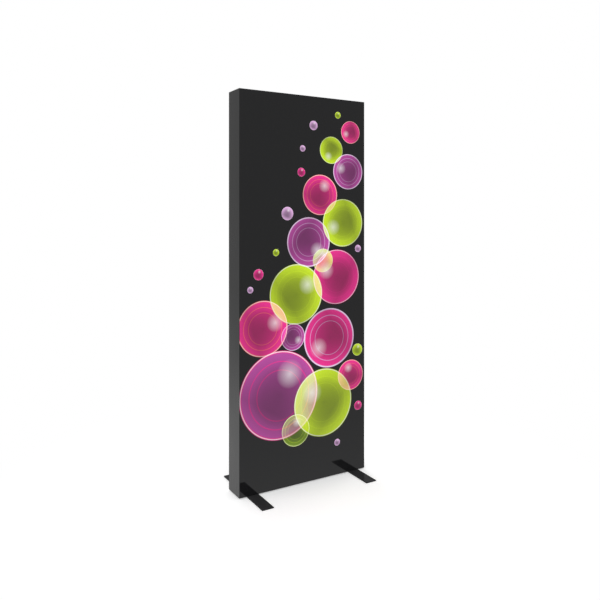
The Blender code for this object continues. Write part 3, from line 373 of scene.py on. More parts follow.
def rounded_bar(half_width, half_height, radius, stations, steps=4):
    """A bar whose section is a rectangle with quarter-circle corners, drawn along the third axis.

    Each station is a place along it and how far the section is drawn in there, for rounded ends.
    """
    angle = np.linspace(0, np.pi / 2, steps + 1) + np.arange(4)[:, None] * np.pi / 2
    corner_x = np.array([1, -1, -1, 1])[:, None]
    corner_y = np.array([1, 1, -1, -1])[:, None]
    rows = []
    for place, inset in stations:
        across = corner_x * (half_width - radius) + (radius - inset) * np.cos(angle)
        up = corner_y * (half_height - radius) + (radius - inset) * np.sin(angle)
        rows.append(np.stack([across.ravel(), up.ravel(), np.full(across.size, place)], -1))
    return skin(np.stack(rows))


def block(low, high):
    """A plain box between two corners: the skin between its lower and its upper outline."""
    x = np.array([low[0], high[0], high[0], low[0]])
    y = np.array([low[1], low[1], high[1], high[1]])
    return skin(np.stack([np.stack([x, y, np.full(4, z)], -1) for z in (low[2], high[2])]))


print("a block has", len(block((0, 0, 0), (1, 1, 1))[1]), "faces")


# %% [markdown]
# A finished grid becomes an object in one step: its doubled points are merged, its faces turned
# outwards, and its gentle edges smoothed. It takes the body of the node that it stands for. Some
# measured pieces only need their sharp edges rounded, because a cut, moulded or painted edge
# catches a thin line of light, so those are copied and bevelled.

# %% Pieces
WELD = 0.002 * MM
SHARP_ANGLE = 35.0
FLAT_ANGLE = 1.0


def clean_mesh(mesh, smooth=SHARP_ANGLE, outwards=False, join_flat=False):
    """Merges doubled points and smooths gentle edges. It can join flat faces and turn faces out."""
    bm = bmesh.new()
    bm.from_mesh(mesh)
    bmesh.ops.remove_doubles(bm, verts=bm.verts, dist=WELD)
    if join_flat:
        angle = np.radians(FLAT_ANGLE)
        bmesh.ops.dissolve_limit(bm, angle_limit=angle, verts=bm.verts, edges=bm.edges)
    if outwards:
        bmesh.ops.recalc_face_normals(bm, faces=bm.faces)
    bm.to_mesh(mesh)
    bm.free()
    mesh.shade_smooth()
    mesh.set_sharp_from_angle(angle=np.radians(smooth))


def place_piece(name, mesh, node):
    """Links a mesh in the place of a CAD node, on its body, and hides the node."""
    piece = add_object(name, mesh)
    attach(piece, body_of_node[node])
    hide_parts(node)
    print(f"{name}: {len(mesh.vertices)} points, {len(mesh.polygons)} faces")
    return piece


def make_piece(name, skins, node, smooth=SHARP_ANGLE, outwards=True):
    """One object from pairs of a skin and its material, in the place of a CAD node."""
    points, faces, numbers, materials, start = [], [], [], [], 0
    for (skin_points, skin_faces), material in skins:
        if material not in materials:
            materials.append(material)
        points.append(skin_points)
        faces += [[start + corner for corner in face] for face in skin_faces]
        numbers += [materials.index(material)] * len(skin_faces)
        start += len(skin_points)
    mesh = bpy.data.meshes.new(name)
    mesh.from_pydata(np.concatenate(points), [], faces)
    for material in materials:
        mesh.materials.append(material)
    mesh.polygons.foreach_set("material_index", numbers)
    clean_mesh(mesh, smooth, outwards)
    return place_piece(name, mesh, node)


def dress(node, material, copied=False):
    """Gives a finish to a CAD node's mesh, or to a copy, which leaves the node as it is."""
    mesh = frame["nodes"][node].data.copy() if copied else frame["nodes"][node].data
    mesh.materials.clear()
    mesh.materials.append(material)
    return mesh


def eased_copy(node, material, width, segments=2):
    """A copy of a CAD node with its sharp edges rounded to this width."""
    mesh = dress(node, material, copied=True)
    clean_mesh(mesh, join_flat=True)
    piece = place_piece(f"{node}_eased", mesh, node)
    bevel = piece.modifiers.new("edges", "BEVEL")
    bevel.width = width
    bevel.segments = segments
    bevel.limit_method = "ANGLE"
    bevel.angle_limit = np.radians(SHARP_ANGLE)
    bevel.harden_normals = True
    return piece


def cut_out(piece, cutters):
    """Cuts closed skins out of a piece and keeps the result as its mesh."""
    tools = []
    for number, (points, faces) in enumerate(cutters):
        mesh = bpy.data.meshes.new("cutter")
        mesh.from_pydata(points, [], faces)
        clean_mesh(mesh, outwards=True)
        tools.append(add_object(f"cutter_{number}", mesh))
        cut = piece.modifiers.new("cut", "BOOLEAN")
        cut.object = tools[-1]
    graph = bpy.context.evaluated_depsgraph_get()
    result = bpy.data.meshes.new_from_object(piece.evaluated_get(graph))
    piece.modifiers.clear()
    piece.data = result
    clean_mesh(result)
    for tool in tools:
        bpy.data.objects.remove(tool)


print(f"points within {WELD / MM} mm are merged, edges over {SHARP_ANGLE:.0f} degrees stay sharp")


# %% [markdown]
# ## Black anodised aluminium
#
# The frame is an extrusion: hot aluminium pushed through a die, which leaves faint lines along its
# length. Anodising turns the skin into a hard clear oxide and a black dye fills it, so what shows
# is a black dielectric with a satin sheen and not a bright metal. The sheen varies in streaks
# that run with the length. Uprights and rails need them turned, so a function takes the axis.

# %% Extruded and anodised
DIE_LINES = 2.5 * MM  # real ones are about 0.2 mm apart, drawn coarser so that they show
DIE_LINE_STRETCH = 160
LINE_SHARE = 0.5  # how much of the sheen follows the lines and how much wide clouds
SHEEN_CLOUDS = 300 * MM


def anodised(name, along):
    """Black anodised extrusion, with its lines and its sheen drawn out along one axis."""
    material, tree = new_tree(name)
    stretch = [DIE_LINE_STRETCH if axis == along else 1 for axis in "XYZ"]
    lines = grain(tree, DIE_LINES, 3.0, stretch)
    sheen = add_node(tree, "Mix", {0: LINE_SHARE, 2: lines, 3: grain(tree, SHEEN_CLOUDS)})
    look = {"Base Color": linear("#0E0E0F"), "IOR": 1.5}
    finish(tree, look | uneven(tree, sheen, 0.24, 0.36, lines, 0.003 * MM))
    return material


upright_finish = anodised("black_anodised_upright", "Z")
rail_finish = anodised("black_anodised_rail", "X")
SIDES = ("left", "right")
PARTS = ("lower", "upper")
UPRIGHTS = [f"{side}_upright_{part}" for side in SIDES for part in PARTS]
RAILS = ["top_rail", "bottom_rail"]
for node in UPRIGHTS:
    dress(node, upright_finish)
for node in RAILS:
    dress(node, rail_finish)
print("anodised:", ", ".join(UPRIGHTS + RAILS))


# %% [markdown]
# ## Powder-coated feet
#
# The feet are flat steel bars under a smooth black powder coat. Powder melts and flows in the oven,
# which leaves a glossy film with a very slight orange peel, and it draws back from a sharp edge,
# so the plates' edges are rounded. The picture's feet mirror little from above, hence a low index.

# %% Feet
FOOT_EDGE = 0.6 * MM

powder_coat = surface(
    "black_powder_coat", ("#2E2E2F", "#333334", 40), (0.07, 0.12, 90), (8, 0.004), {"IOR": 1.12}
)
for side in SIDES:
    eased_copy(f"{side}_foot", powder_coat, FOOT_EDGE, 3)


# %% [markdown]
# ## Stretched fabric
#
# Each face is a knitted polyester sheet with a silicone strip sewn along its edge. Pressed into the
# frame's groove, the strip pulls the sheet flat, and the sheet turns over a small radius into the
# groove. The surface is two grids: the flat face, and a strip whose profile is the turned
# edge, carried round the face's outline. At a corner the profile runs along the diagonal,
# which is the mitre of a folded corner. Solidify then gives the cloth its thickness, inwards.

# %% A sheet with a turned edge
SHEET_THICKNESS = 0.3 * MM
SHEET_TURN = 1.2 * MM
SHEET_SPREAD = 0.15 * MM  # the cloth lies this much nearer to the frame than the plain CAD plate
SHEET_RETURN = 13.5 * MM
SHEET_CELLS = (60, 160)
EDGE_ROW = 0.4 * MM  # the last row of cells is this narrow, so what the face mirrors stays straight
TURN_STEPS = 6
TURN_SMOOTH = 60.0  # degrees up to which the turned edge is smooth


def stretched_sheet(name, node, face, outside, inside):
    """A flat face and its turned edge. Face is -1 in front and 1 behind.

    At angle a the edge is out by r sin a and back by r (1 - cos a), and then runs straight back.
    """
    low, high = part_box(node)
    inset = SHEET_TURN - SHEET_SPREAD
    x, z = (
        np.linspace(start + inset, end - inset, cells + 1)
        for start, end, cells in ((low.x, high.x, SHEET_CELLS[0]), (low.z, high.z, SHEET_CELLS[1]))
    )
    x, z = (np.insert(row, (1, -1), (row[0] + EDGE_ROW, row[-1] - EDGE_ROW)) for row in (x, z))
    level = low.y if face < 0 else high.y
    flat = np.stack(np.broadcast_arrays(x[None, :], level, z[:, None]), -1)
    outline = np.concatenate([flat[0, :-1], flat[:-1, -1], flat[-1, :0:-1], flat[:0:-1, 0]])
    outwards = np.zeros_like(outline)
    for axis, places in ((0, x), (2, z)):
        at_high = np.isclose(outline[:, axis], places[-1])
        at_low = np.isclose(outline[:, axis], places[0])
        outwards[:, axis] = at_high.astype(float) - at_low
    angle = np.linspace(0, np.pi / 2, TURN_STEPS + 1)
    out = np.append(SHEET_TURN * np.sin(angle), SHEET_TURN)
    back = np.append(SHEET_TURN * (1 - np.cos(angle)), SHEET_RETURN)
    edge = outline[None] + outwards[None] * out[:, None, None]
    edge[..., 1] -= face * back[:, None]
    skins = [(skin(flat, False, False), outside), (skin(edge[::-1], True, False), outside)]
    piece = make_piece(name, skins, node, TURN_SMOOTH, outwards=False)
    if face > 0:
        piece.data.flip_normals()
    piece.data.materials.append(inside)
    thickness = piece.modifiers.new("thickness", "SOLIDIFY")
    thickness.thickness = SHEET_THICKNESS
    thickness.offset = -1.0
    thickness.material_offset = thickness.material_offset_rim = 1


print(f"a sheet's face has {SHEET_CELLS[0] + 2} by {SHEET_CELLS[1] + 2} cells")


# %% [markdown]
# ### Knit
#
# A warp knit is rows of tiny loops. Two waves, one across and one up, multiplied, give a field of
# small rounded bumps that stands for them, and the same field darkens the hollows between the
# loops in the colour of the white inside and of the print, as painted shade. The printed face is
# smooth and glossy, the inside is matt white, and the black-out cloth behind has a matt weave.

# %% Knit bumps and the plain fabrics
KNIT_PITCH = 3.0 * MM  # real loops are about 0.5 mm wide, drawn coarser so that they show
WAVE_LENGTH = 2 * np.pi / 20  # the Wave texture's own period at a scale of 1


def knit(tree):
    """The product of a wave along X and one along Z, each with the knit's pitch as its period."""
    place = add_node(tree, "TexCoord").outputs["Object"]
    inputs = {"Vector": place, "Scale": WAVE_LENGTH / KNIT_PITCH}
    across = add_node(tree, "TexWave", inputs, bands_direction="X").outputs["Fac"]
    up = add_node(tree, "TexWave", inputs, bands_direction="Z").outputs["Fac"]
    return add_node(tree, "Math", {0: across, 1: up}, operation="MULTIPLY")


white_knit, tree = new_tree("unprinted_polyester_knit")
loops = knit(tree)
# painted shade: the hollows between the knit's loops are a little darker than the loops
look = {"Base Color": tint(tree, loops, "#ECEDED", "#F3F4F4"), "Sheen Weight": 0.2}
finish(tree, look | uneven(tree, grain(tree, 20 * MM), 0.7, 0.8, loops, 0.06 * MM))

blackout_cloth, tree = new_tree("blackout_polyester_weave")
mottle = tint(tree, grain(tree, 60 * MM, 5.0), "#1F1F21", "#232325")
look = {"Base Color": mottle, "IOR": 1.4, "Sheen Weight": 0.15, "Sheen Roughness": 0.5}
finish(tree, look | uneven(tree, grain(tree, 25 * MM, 3.0), 0.62, 0.78, knit(tree), 0.1 * MM))
stretched_sheet("back_fabric", "back_liner", 1, blackout_cloth, white_knit)


# %% [markdown]
# ### Print
#
# The print is a cascade of glassy discs on charcoal, in lime, magenta, salmon and lilac. A disc is
# worked out from the distance to its centre: a ramp deepens it in the middle and brightens it to
# the rim, with fine rings inside the edge. A second ramp, across the disc, lights one side of
# it, and a soft white spot lies on that side. Discs are laid over each other with Screen, as
# coloured light adds up. The lamps behind the cloth are on, so part of the print's
# brightness is its own glow.

# %% Discs of the print
INKS = {
    "lime": "#C8E61E",
    "olive": "#7FA016",
    "pink": "#F02A90",
    "salmon": "#FF6E64",
    "lilac": "#E2B0E2",
    "violet": "#B8489F",
    "white": "#FFF8FE",
}
CHARCOAL = "#151516"
DISCS = [
    # millimetres across from the middle, up from the floor and in radius, rim, body, lit side
    (-185, 580, 276, "pink", "violet", 60),
    (135, 490, 218, "lime", "lime", 140),
    (-300, 1000, 172, "salmon", "pink", 20),
    (180, 900, 192, "lilac", "pink", 215),
    (-65, 1195, 190, "lime", "lime", 35),
    (235, 1290, 178, "pink", "pink", 150),
    (25, 1520, 158, "lilac", "violet", 320),
    (285, 1640, 156, "lime", "lime", 200),
    (110, 1820, 130, "salmon", "pink", 60),
    (325, 1975, 116, "lilac", "violet", 160),
    (195, 2110, 88, "lime", "lime", 240),
    (345, 2235, 74, "salmon", "pink", 200),
    (-70, 345, 100, "lime", "olive", 80),
    (345, 640, 100, "salmon", "pink", 110),
    (-90, 930, 85, "lilac", "violet", 330),
    (130, 1400, 76, "lime", "lime", 80),
]
DROPS = [
    # the smallest discs: across, up, radius and one ink for rim and body
    (-330, 1330, 34, "pink"),
    (-210, 1460, 22, "lime"),
    (-130, 1700, 42, "lilac"),
    (-30, 1960, 28, "pink"),
    (60, 2260, 30, "lilac"),
    (245, 2340, 22, "lime"),
    (-385, 1240, 20, "lilac"),
    (405, 1470, 24, "lilac"),
    (-20, 2110, 20, "lilac"),
    (400, 800, 40, "lime"),
    (405, 430, 30, "pink"),
    (240, 215, 22, "lilac"),
]
DROP_LIT_SIDE = 70
DISCS += [(*drop, drop[-1], DROP_LIT_SIDE) for drop in DROPS]
RIM_PROFILE = [
    # share of the radius, ink, strength
    (0.0, "body", 0.4),
    (0.4, "body", 0.52),
    (0.55, "body", 0.62),
    (0.565, "rim", 0.8),
    (0.58, "body", 0.66),
    (0.74, "body", 0.86),
    (0.755, "rim", 1.0),
    (0.775, "body", 0.9),
    (0.93, "body", 1.0),
    (0.955, "rim", 1.0),
    (0.972, "white", 1.0),
    (0.985, "rim", 1.0),
    (1.0, "rim", 0.0),
]
SIDE_LIGHT = [(0.0, 0.8), (0.3, 0.55), (0.55, 0.8), (0.9, 1.0)]  # share across the disc, light
SPOT_PLACE = 0.52  # of the radius, towards the lit side
SPOT_PROFILE = [(0.0, 0.5), (0.12, 0.3), (0.34, 0.0)]  # distance in radii, light
FULL = 1.0


def glassy_disc(tree, place, below, across, up, radius, rim, body, lit_side):
    """Screens one disc over the colour below it, and gives the new colour."""
    inks = {"body": INKS[body], "rim": INKS[rim], "white": INKS["white"]}
    profile = [(spot, linear(inks[ink], strength)) for spot, ink, strength in RIM_PROFILE]
    light, white_spot = (
        [(spot, (value, value, value, 1)) for spot, value in stops]
        for stops in (SIDE_LIGHT, SPOT_PROFILE)
    )
    turn = np.radians(lit_side)
    lit_way = np.array([np.cos(turn), 0, np.sin(turn)])
    centre = (across * MM, 0, up * MM)
    offset = add_node(tree, "VectorMath", {0: place, 1: centre}, operation="SUBTRACT")
    scaled = {0: offset, "Scale": 1 / (radius * MM)}
    share = add_node(tree, "VectorMath", scaled, operation="SCALE")
    distance = add_node(tree, "VectorMath", {0: share}, operation="LENGTH")
    along = add_node(tree, "VectorMath", {0: share, 1: lit_way}, operation="DOT_PRODUCT")
    lit = add_node(tree, "Math", {0: along, 1: 0.5, 2: 0.5}, operation="MULTIPLY_ADD")
    spot_middle = lit_way * SPOT_PLACE
    to_spot = add_node(tree, "VectorMath", {0: share, 1: spot_middle}, operation="DISTANCE")
    colour = add_node(tree, "ValToRGB", {0: distance}, stops=profile)
    shade = add_node(tree, "ValToRGB", {0: lit}, stops=light)
    spot = add_node(tree, "ValToRGB", {0: to_spot}, stops=white_spot)
    for blend, other in (("MULTIPLY", shade), ("SCREEN", spot), ("SCREEN", below)):
        inputs = {0: FULL, 6: colour, 7: other}
        colour = add_node(tree, "Mix", inputs, data_type="RGBA", blend_type=blend)
    return colour


print("print:", len(DISCS), "discs")


# %% [markdown]
# The front's gloss is as the picture shows it: the feet and the floor are mirrored in its dark
# parts, faintly and with clear edges. That takes a low index and a low roughness, and knit bumps
# that are almost flat, so the loops of the knit are shown in the colour instead: the print is
# darker in the hollows between them, which is painted shade.

# %% Printed front
# painted shade: the print keeps this share of its colour in the hollows between the knit's loops and on them
KNIT_SHADE_RANGE = (0.54, 0.78)  # between the loops and on them
GLOW_SHARE = 0.4

printed_cloth, tree = new_tree("dye_sublimated_knit")
place = add_node(tree, "TexCoord").outputs["Object"]
on_face = add_node(tree, "VectorMath", {0: place, 1: (1, 0, 1)}, operation="MULTIPLY")
print_colour = linear(CHARCOAL)
for disc in DISCS:
    print_colour = glassy_disc(tree, on_face, print_colour, *disc)
loops = knit(tree)
# painted shade: the print's colour is scaled down where the knit is low, between its loops
thickness = {"Value": loops, "To Min": KNIT_SHADE_RANGE[0], "To Max": KNIT_SHADE_RANGE[1]}
knit_shade = add_node(tree, "MapRange", thickness)
ink = add_node(tree, "VectorMath", {0: print_colour, "Scale": knit_shade}, operation="SCALE")
look = {"Base Color": ink, "IOR": 1.42}
glow = {"Emission Color": print_colour, "Emission Strength": GLOW_SHARE}
sheen = uneven(tree, grain(tree, 120 * MM, 3.0), 0.05, 0.08, loops, 0.003 * MM)
finish(tree, look | glow | sheen)
stretched_sheet("front_fabric", "front_graphic", -1, printed_cloth, white_knit)


# %% [markdown]
# ## Silicone edges
#
# A flat strip of translucent silicone is sewn along the cloth's hem and grips the groove. Its
# section is a rectangle with round ends and five shallow ribs on the side away from the cloth.
# The section is carried along the side in two rows, and the far points of each row
# are drawn in by their own depth, which cuts both ends to a mitre.

# %% Beads
BEAD_ROUND = 1.0 * MM
BEAD_RIBS = 5
BEAD_RIB_DEPTH = 0.25 * MM
RIB_STEPS = 8

SCATTER = {  # light goes a little way into silicone, which softens its shading
    "Subsurface Weight": 0.3,
    "Subsurface Radius": (1.0, 1.0, 1.0),
    "Subsurface Scale": 2 * MM,
}
silicone = surface(
    "translucent_silicone",
    ("#DADAD4", "#E6E6E1", 15),
    (0.38, 0.5, 8),
    (3, 0.02),
    {"IOR": 1.41} | SCATTER,
)


def bead(name, side):
    """A silicone strip along one side, with its ribs away from the cloth.

    The ribbed side dips by d (1 - cos a) / 2. Each end of the section is half an ellipse.
    """
    (u_low, v_low, w_low), (u_high, v_high, w_high) = span_on_side(side, name)
    v = np.linspace(v_low + BEAD_ROUND, v_high - BEAD_ROUND, BEAD_RIBS * RIB_STEPS + 1)
    phase = np.linspace(0, 2 * np.pi * BEAD_RIBS, len(v))
    ribbed = u_high - BEAD_RIB_DEPTH * (1 - np.cos(phase)) / 2
    angle = np.linspace(0, np.pi, RIB_STEPS + 1)
    middle, half = (u_low + u_high) / 2, (u_high - u_low) / 2
    end_u = middle + half * np.cos(angle)
    end_v = BEAD_ROUND * np.sin(angle)
    u = np.concatenate([ribbed, end_u[1:], end_u[::-1][:-1]])
    v = np.concatenate([v, v[-1] + end_v[1:], v[0] - end_v[::-1][:-1]])
    rows = [np.stack([u, v, w], -1) for w in (w_low + u - u_low, w_high - u + u_low)]
    points, faces = skin(np.stack(rows))
    make_piece(f"{name}_silicone", [((on_side(side, points), faces), silicone)], name)


for face in ("front", "back"):
    for side in ("left", "right", "top", "bottom"):
        bead(f"{face}_bead_{side}", side)


# %% [markdown]
# ## Bare metals
#
# Inside the box the metals are left bare. The crossbar, the splice bars and the LED bars are
# extrusions as they leave the die: bright, with lines along their length. The corner brackets
# are cast, which leaves a fine sandy skin. Screws, bolts and clips are steel under a film of
# zinc, whose crystals make its shine cloudy and slightly blue.

# %% Metals
METAL = {"Metallic": 1.0}
MILL = (("#C4C6C9", "#D3D5D7", 40), (0.25, 0.4, 1.2), (1.2, 0.02), METAL)
mill_along_z = surface("mill_finish_aluminium_upright", *MILL, (1, 1, DIE_LINE_STRETCH))
mill_along_x = surface("mill_finish_aluminium_crossbar", *MILL, (DIE_LINE_STRETCH, 1, 1))
cast_metal = surface(
    "die_cast_aluminium", ("#A9ABAE", "#B9BBBD", 40), (0.42, 0.58, 0.6), (0.6, 0.05), METAL
)
zinc_plate = surface(
    "zinc_plated_steel", ("#B4BAC0", "#CDD0D2", 40), (0.2, 0.36, 2.5), (2.5, 0.004), METAL
)
SAWN_EDGE, PRESSED_EDGE = 0.5 * MM, 0.3 * MM

for side in SIDES:
    dress(f"{side}_splice_bar", mill_along_z)
    for part in PARTS:
        dress(f"{side}_led_bar_{part}", mill_along_z)
eased_copy("crossbar", mill_along_x, SAWN_EDGE)
CORNERS = [f"{level}_{side}" for level in ("bottom", "top") for side in SIDES]
for corner in CORNERS:
    eased_copy(f"{corner}_bracket", cast_metal, SAWN_EDGE)
for side in SIDES:
    eased_copy(f"driver_clip_{side}", zinc_plate, PRESSED_EDGE)


# %% [markdown]
# ## Screws and bolts
#
# A screw is turned from its outline: a head, a shank, and a thread. The thread here is a row of
# rings and not a helix, because at this size the eye can't tell them apart. The socket in the
# head is cut out of the turned piece with a Boolean, and the cut is applied.

# %% Turned screws
ROUND_STEPS = 32
HEXAGON = 6


def along_depth(side, node, some_skin):
    """Turns a skin's third axis to run inwards from a side, through the middle of a CAD node."""
    points, faces = some_skin
    middle = np.mean(span_on_side(side, node), axis=0) * (0, 1, 1)
    return on_side(side, np.roll(points, 1, -1) + middle), faces


def thread(radius, depth, pitch, start, end):
    """Radii and heights of rings: the radius drops by the depth at every second half pitch."""
    height = np.arange(start, end, pitch / 2)
    return [(radius - depth * (number % 2), place) for number, place in enumerate(height)]


def socket(radius, start, end):
    """The recess of a socket screw: one hexagon prism between two heights."""
    return [turned([(radius, start), (radius, end)], HEXAGON)]


def screw(side, node, outline, recess):
    """A zinc-plated screw in the place of a CAD node, with its recess cut out."""
    turned_skin = along_depth(side, node, turned(outline, ROUND_STEPS))
    piece = make_piece(f"{node}_turned", [(turned_skin, zinc_plate)], node)
    cut_out(piece, [along_depth(side, node, cutter) for cutter in recess])


print(f"a screw is turned in {ROUND_STEPS} steps")


# %% [markdown]
# Three kinds of screw hold this box. Grub screws lock the brackets and splice bars in the frame's
# chamber. Countersunk bolts come up through the feet and the bottom rail. Two small countersunk
# screws with a crossed recess hold the power inlet.

# %% Grub screws, foot bolts and inlet screws
CUT_PAST = 1.0 * MM

GRUB_RADIUS, GRUB_CHAMFER = 3.0 * MM, 0.4 * MM
GRUB_THREAD = (0.3 * MM, 1.0 * MM)  # depth, pitch
GRUB_SOCKET = (1.7 * MM, 3.0 * MM)  # radius, depth
grubs = [(corner.split("_")[1], f"{corner}_lock_screw") for corner in CORNERS]
grubs += [(side, f"{side}_splice_screw") for side in SIDES]
for side, node in grubs:
    (low, _, _), (high, _, _) = span_on_side(side, node)
    outline = [(GRUB_RADIUS - GRUB_CHAMFER, low)]
    outline += thread(GRUB_RADIUS, *GRUB_THREAD, low + GRUB_CHAMFER, high - GRUB_CHAMFER)
    outline.append((GRUB_RADIUS - GRUB_CHAMFER, high))
    radius, depth = GRUB_SOCKET
    screw(side, node, outline, socket(radius, high - depth, high + CUT_PAST))

BOLT_HEAD, BOLT_SHANK, BOLT_EDGE = 7.8 * MM, 4.0 * MM, 0.2 * MM
BOLT_THREAD = (0.4 * MM, 1.25 * MM)
BOLT_PLAIN = 9.0 * MM
BOLT_SOCKET = (2.9 * MM, 3.0 * MM)
for side in SIDES:
    for position in ("outer", "inner"):
        node = f"{side}_foot_bolt_{position}"
        (low, _, _), (high, _, _) = span_on_side("bottom", node)
        outline = [(BOLT_HEAD - 2 * BOLT_EDGE, low), (BOLT_HEAD - BOLT_EDGE, low + BOLT_EDGE)]
        outline.append((BOLT_SHANK, low + BOLT_HEAD - BOLT_SHANK))
        outline += thread(BOLT_SHANK, *BOLT_THREAD, low + BOLT_PLAIN, high - BOLT_EDGE)
        outline.append((BOLT_SHANK - BOLT_THREAD[0], high))
        radius, depth = BOLT_SOCKET
        screw("bottom", node, outline, socket(radius, low - CUT_PAST, low + depth))

INLET_HEAD, INLET_SHANK, INLET_EDGE = 2.8 * MM, 1.5 * MM, 0.1 * MM
CROSS_ARM = (1.7 * MM, 0.3 * MM, 1.1 * MM)  # half its length, half its width, depth
for name in ("inlet_screw_lower", "inlet_screw_upper"):
    (low, _, _), (high, _, _) = span_on_side("right", name)
    rim = INLET_HEAD - INLET_EDGE
    outline = [(rim, low), (rim, low + INLET_EDGE)]
    outline += [(INLET_SHANK, low + INLET_HEAD - INLET_SHANK), (INLET_SHANK, high)]
    reach, width, depth = CROSS_ARM
    arms = [(reach, width), (width, reach)]
    recess = [block((-x, -y, low - CUT_PAST), (x, y, low + depth)) for x, y in arms]
    screw("right", name, outline, recess)


# %% [markdown]
# ## LED bars
#
# Edge lights make a light box this shallow work: a row of LEDs on each upright throws its light
# across the cloth through small lenses. Each board is a strip of white-lacquered circuit
# board with two copper rails, which show through the lacquer as faint raised bands, a lens every
# 50 mm, a pair of small resistors beside each lens, and a plug at each end. The lamps are on,
# so the lenses glow.

# %% Finishes of the boards
COPPER_RAIL = (8.5 * MM, 1.2 * MM)  # distance from the middle, half its width
RAIL_EDGE = 0.3 * MM

solder_mask, tree = new_tree("white_epoxy_solder_mask")
place = add_node(tree, "TexCoord").outputs["Object"]
across = add_node(tree, "SeparateXYZ", {0: place}).outputs["Y"]
from_middle = add_node(tree, "Math", {0: across}, operation="ABSOLUTE")
to_rail = add_node(tree, "Math", {0: from_middle, 1: COPPER_RAIL[0]}, operation="SUBTRACT")
off_rail = add_node(tree, "Math", {0: to_rail}, operation="ABSOLUTE")
limits = {"Value": off_rail, "From Min": COPPER_RAIL[1], "From Max": COPPER_RAIL[1] + RAIL_EDGE}
rail = add_node(tree, "MapRange", {**limits, "To Min": 1.0, "To Max": 0.0})
speckle = tint(tree, grain(tree, 12 * MM), "#EEF0ED", "#F4F5F2")
lacquer = add_node(tree, "Mix", {0: rail, 6: speckle, 7: linear("#E3E0D4")}, data_type="RGBA")
look = {"Base Color": lacquer, "IOR": 1.5}
finish(tree, look | uneven(tree, grain(tree, 6 * MM), 0.3, 0.42, rail, 0.05 * MM))

GLOW = {"Emission Color": linear("#FBFCFF"), "Emission Strength": 0.45}
# polished and bright, but not so bright that its dome can't be seen
lit_lens = surface(
    "lit_acrylic_lens", ("#F2F5F8", "#FAFBFC", 2), (0.06, 0.12, 3), (1, 0.01), {"IOR": 1.49} | GLOW
)
lit_lens.cycles.emission_sampling = "NONE"
# matt and slightly yellow beside the board
white_nylon = surface(
    "moulded_white_nylon", ("#E4E3DC", "#ECEBE6", 15), (0.35, 0.5, 5), (0.5, 0.01), {"IOR": 1.53}
)
# a black glaze on ceramic, with tinned ends
resistor_ceramic = surface(
    "black_resistor_ceramic", ("#141415", "#1E1E20", 1), (0.25, 0.4, 1), (0.4, 0.01), {"IOR": 1.6}
)
solder_tin = surface("solder_tin", ("#BFC1C3", "#D2D3D4", 1), (0.2, 0.4, 0.4), (0.4, 0.01), METAL)
print("boards: 5 finishes, the lenses lit")


# %% [markdown]
# A lens is turned like a screw. Its outline rises from a flange over a dome to a dimple at the
# top, which spreads the light sideways. The small pieces beside it are plain boxes with a
# few faces, because there are over a hundred of them.

# %% Pieces of a board
LENS_RADIUS, LENS_FLANGE, LENS_DOME, LENS_HEIGHT = 6.5 * MM, 1.0 * MM, 5.6 * MM, 6.5 * MM
LENS_DIMPLE, DIMPLE_RADIUS = 1.3 * MM, 1.6 * MM
LENS_ROWS, LENS_STEPS = 9, 24


def lens():
    """A turned lens: a flange, then r = R cos a and h = H sin a, with a dimple of exp(-(r/w)^2)."""
    angle = np.linspace(0, np.pi / 2, LENS_ROWS)
    radius = LENS_DOME * np.cos(angle)
    height = LENS_FLANGE + (LENS_HEIGHT - LENS_FLANGE) * np.sin(angle)
    height -= LENS_DIMPLE * np.exp(-((radius / DIMPLE_RADIUS) ** 2))
    flange = [(LENS_RADIUS, 0), (LENS_RADIUS, LENS_FLANGE)]
    return turned(flange + list(zip(radius, height)), LENS_STEPS)


def small_box(middle, size):
    """A box of height, width and length that stands on a board at a place of u, v and w."""
    half = size / 2 * (0, 1, 1)
    return block(middle - half, middle + half + size * (1, 0, 0))


print("a lens has", len(lens()[1]), "faces")


# %% [markdown]
# The lenses stand in one row, counted out from the middle of the board, with room for a plug at
# each end. All four boards are alike in their side's measures, so one function makes them.

# %% LED boards
BOARD_THICKNESS = 1.6 * MM
LED_PITCH = 50 * MM
PLUG = np.array([5.2, 10.0, 12.0]) * MM  # height, width, length
PLUG_LATCH = np.array([0.4, 4.0, 1.4]) * MM
PLUG_EDGE = 0.4 * MM
RESISTOR = np.array([0.5, 1.2, 2.0]) * MM
RESISTOR_BODY = np.array([0.55, 1.3, 1.2]) * MM
RESISTOR_PLACES = np.array([(5.0, 12.0), (-5.0, 12.0)]) * MM  # across, and past its lens


def led_board(side, part):
    """A board with its lenses, resistors and plugs, made in the side's own measures."""
    node = f"{side}_led_board_{part}"
    low, high = span_on_side(side, node)
    top = low[0] + BOARD_THICKNESS
    length = high[2] - low[2]
    count = int((length - 2 * PLUG[2]) / LED_PITCH)
    places = (low[2] + high[2]) / 2 + (np.arange(count) - (count - 1) / 2) * LED_PITCH
    skins = [(block(low, (top, high[1], high[2])), solder_mask)]
    for w in places:
        skins.append((moved(lens(), (top, 0, w), 1), lit_lens))
        for across, past in RESISTOR_PLACES:
            place = np.array([top, across, w + past])
            skins.append((small_box(place, RESISTOR), solder_tin))
            skins.append((small_box(place, RESISTOR_BODY), resistor_ceramic))
    half = PLUG[2] / 2
    ends = [(-half, PLUG_EDGE), (PLUG_EDGE - half, 0), (half - PLUG_EDGE, 0), (half, PLUG_EDGE)]
    for w in (low[2] + half, high[2] - half):
        housing = rounded_bar(PLUG[0] / 2, PLUG[1] / 2, PLUG_EDGE, ends)
        skins.append((moved(housing, (top + PLUG[0] / 2, 0, w)), white_nylon))
        latch = np.array([top + PLUG[0], 0, w])
        skins.append((small_box(latch, PLUG_LATCH), white_nylon))
    placed = [((on_side(side, points), faces), material) for (points, faces), material in skins]
    make_piece(f"{node}_detailed", placed, node)


for side in SIDES:
    for part in PARTS:
        led_board(side, part)


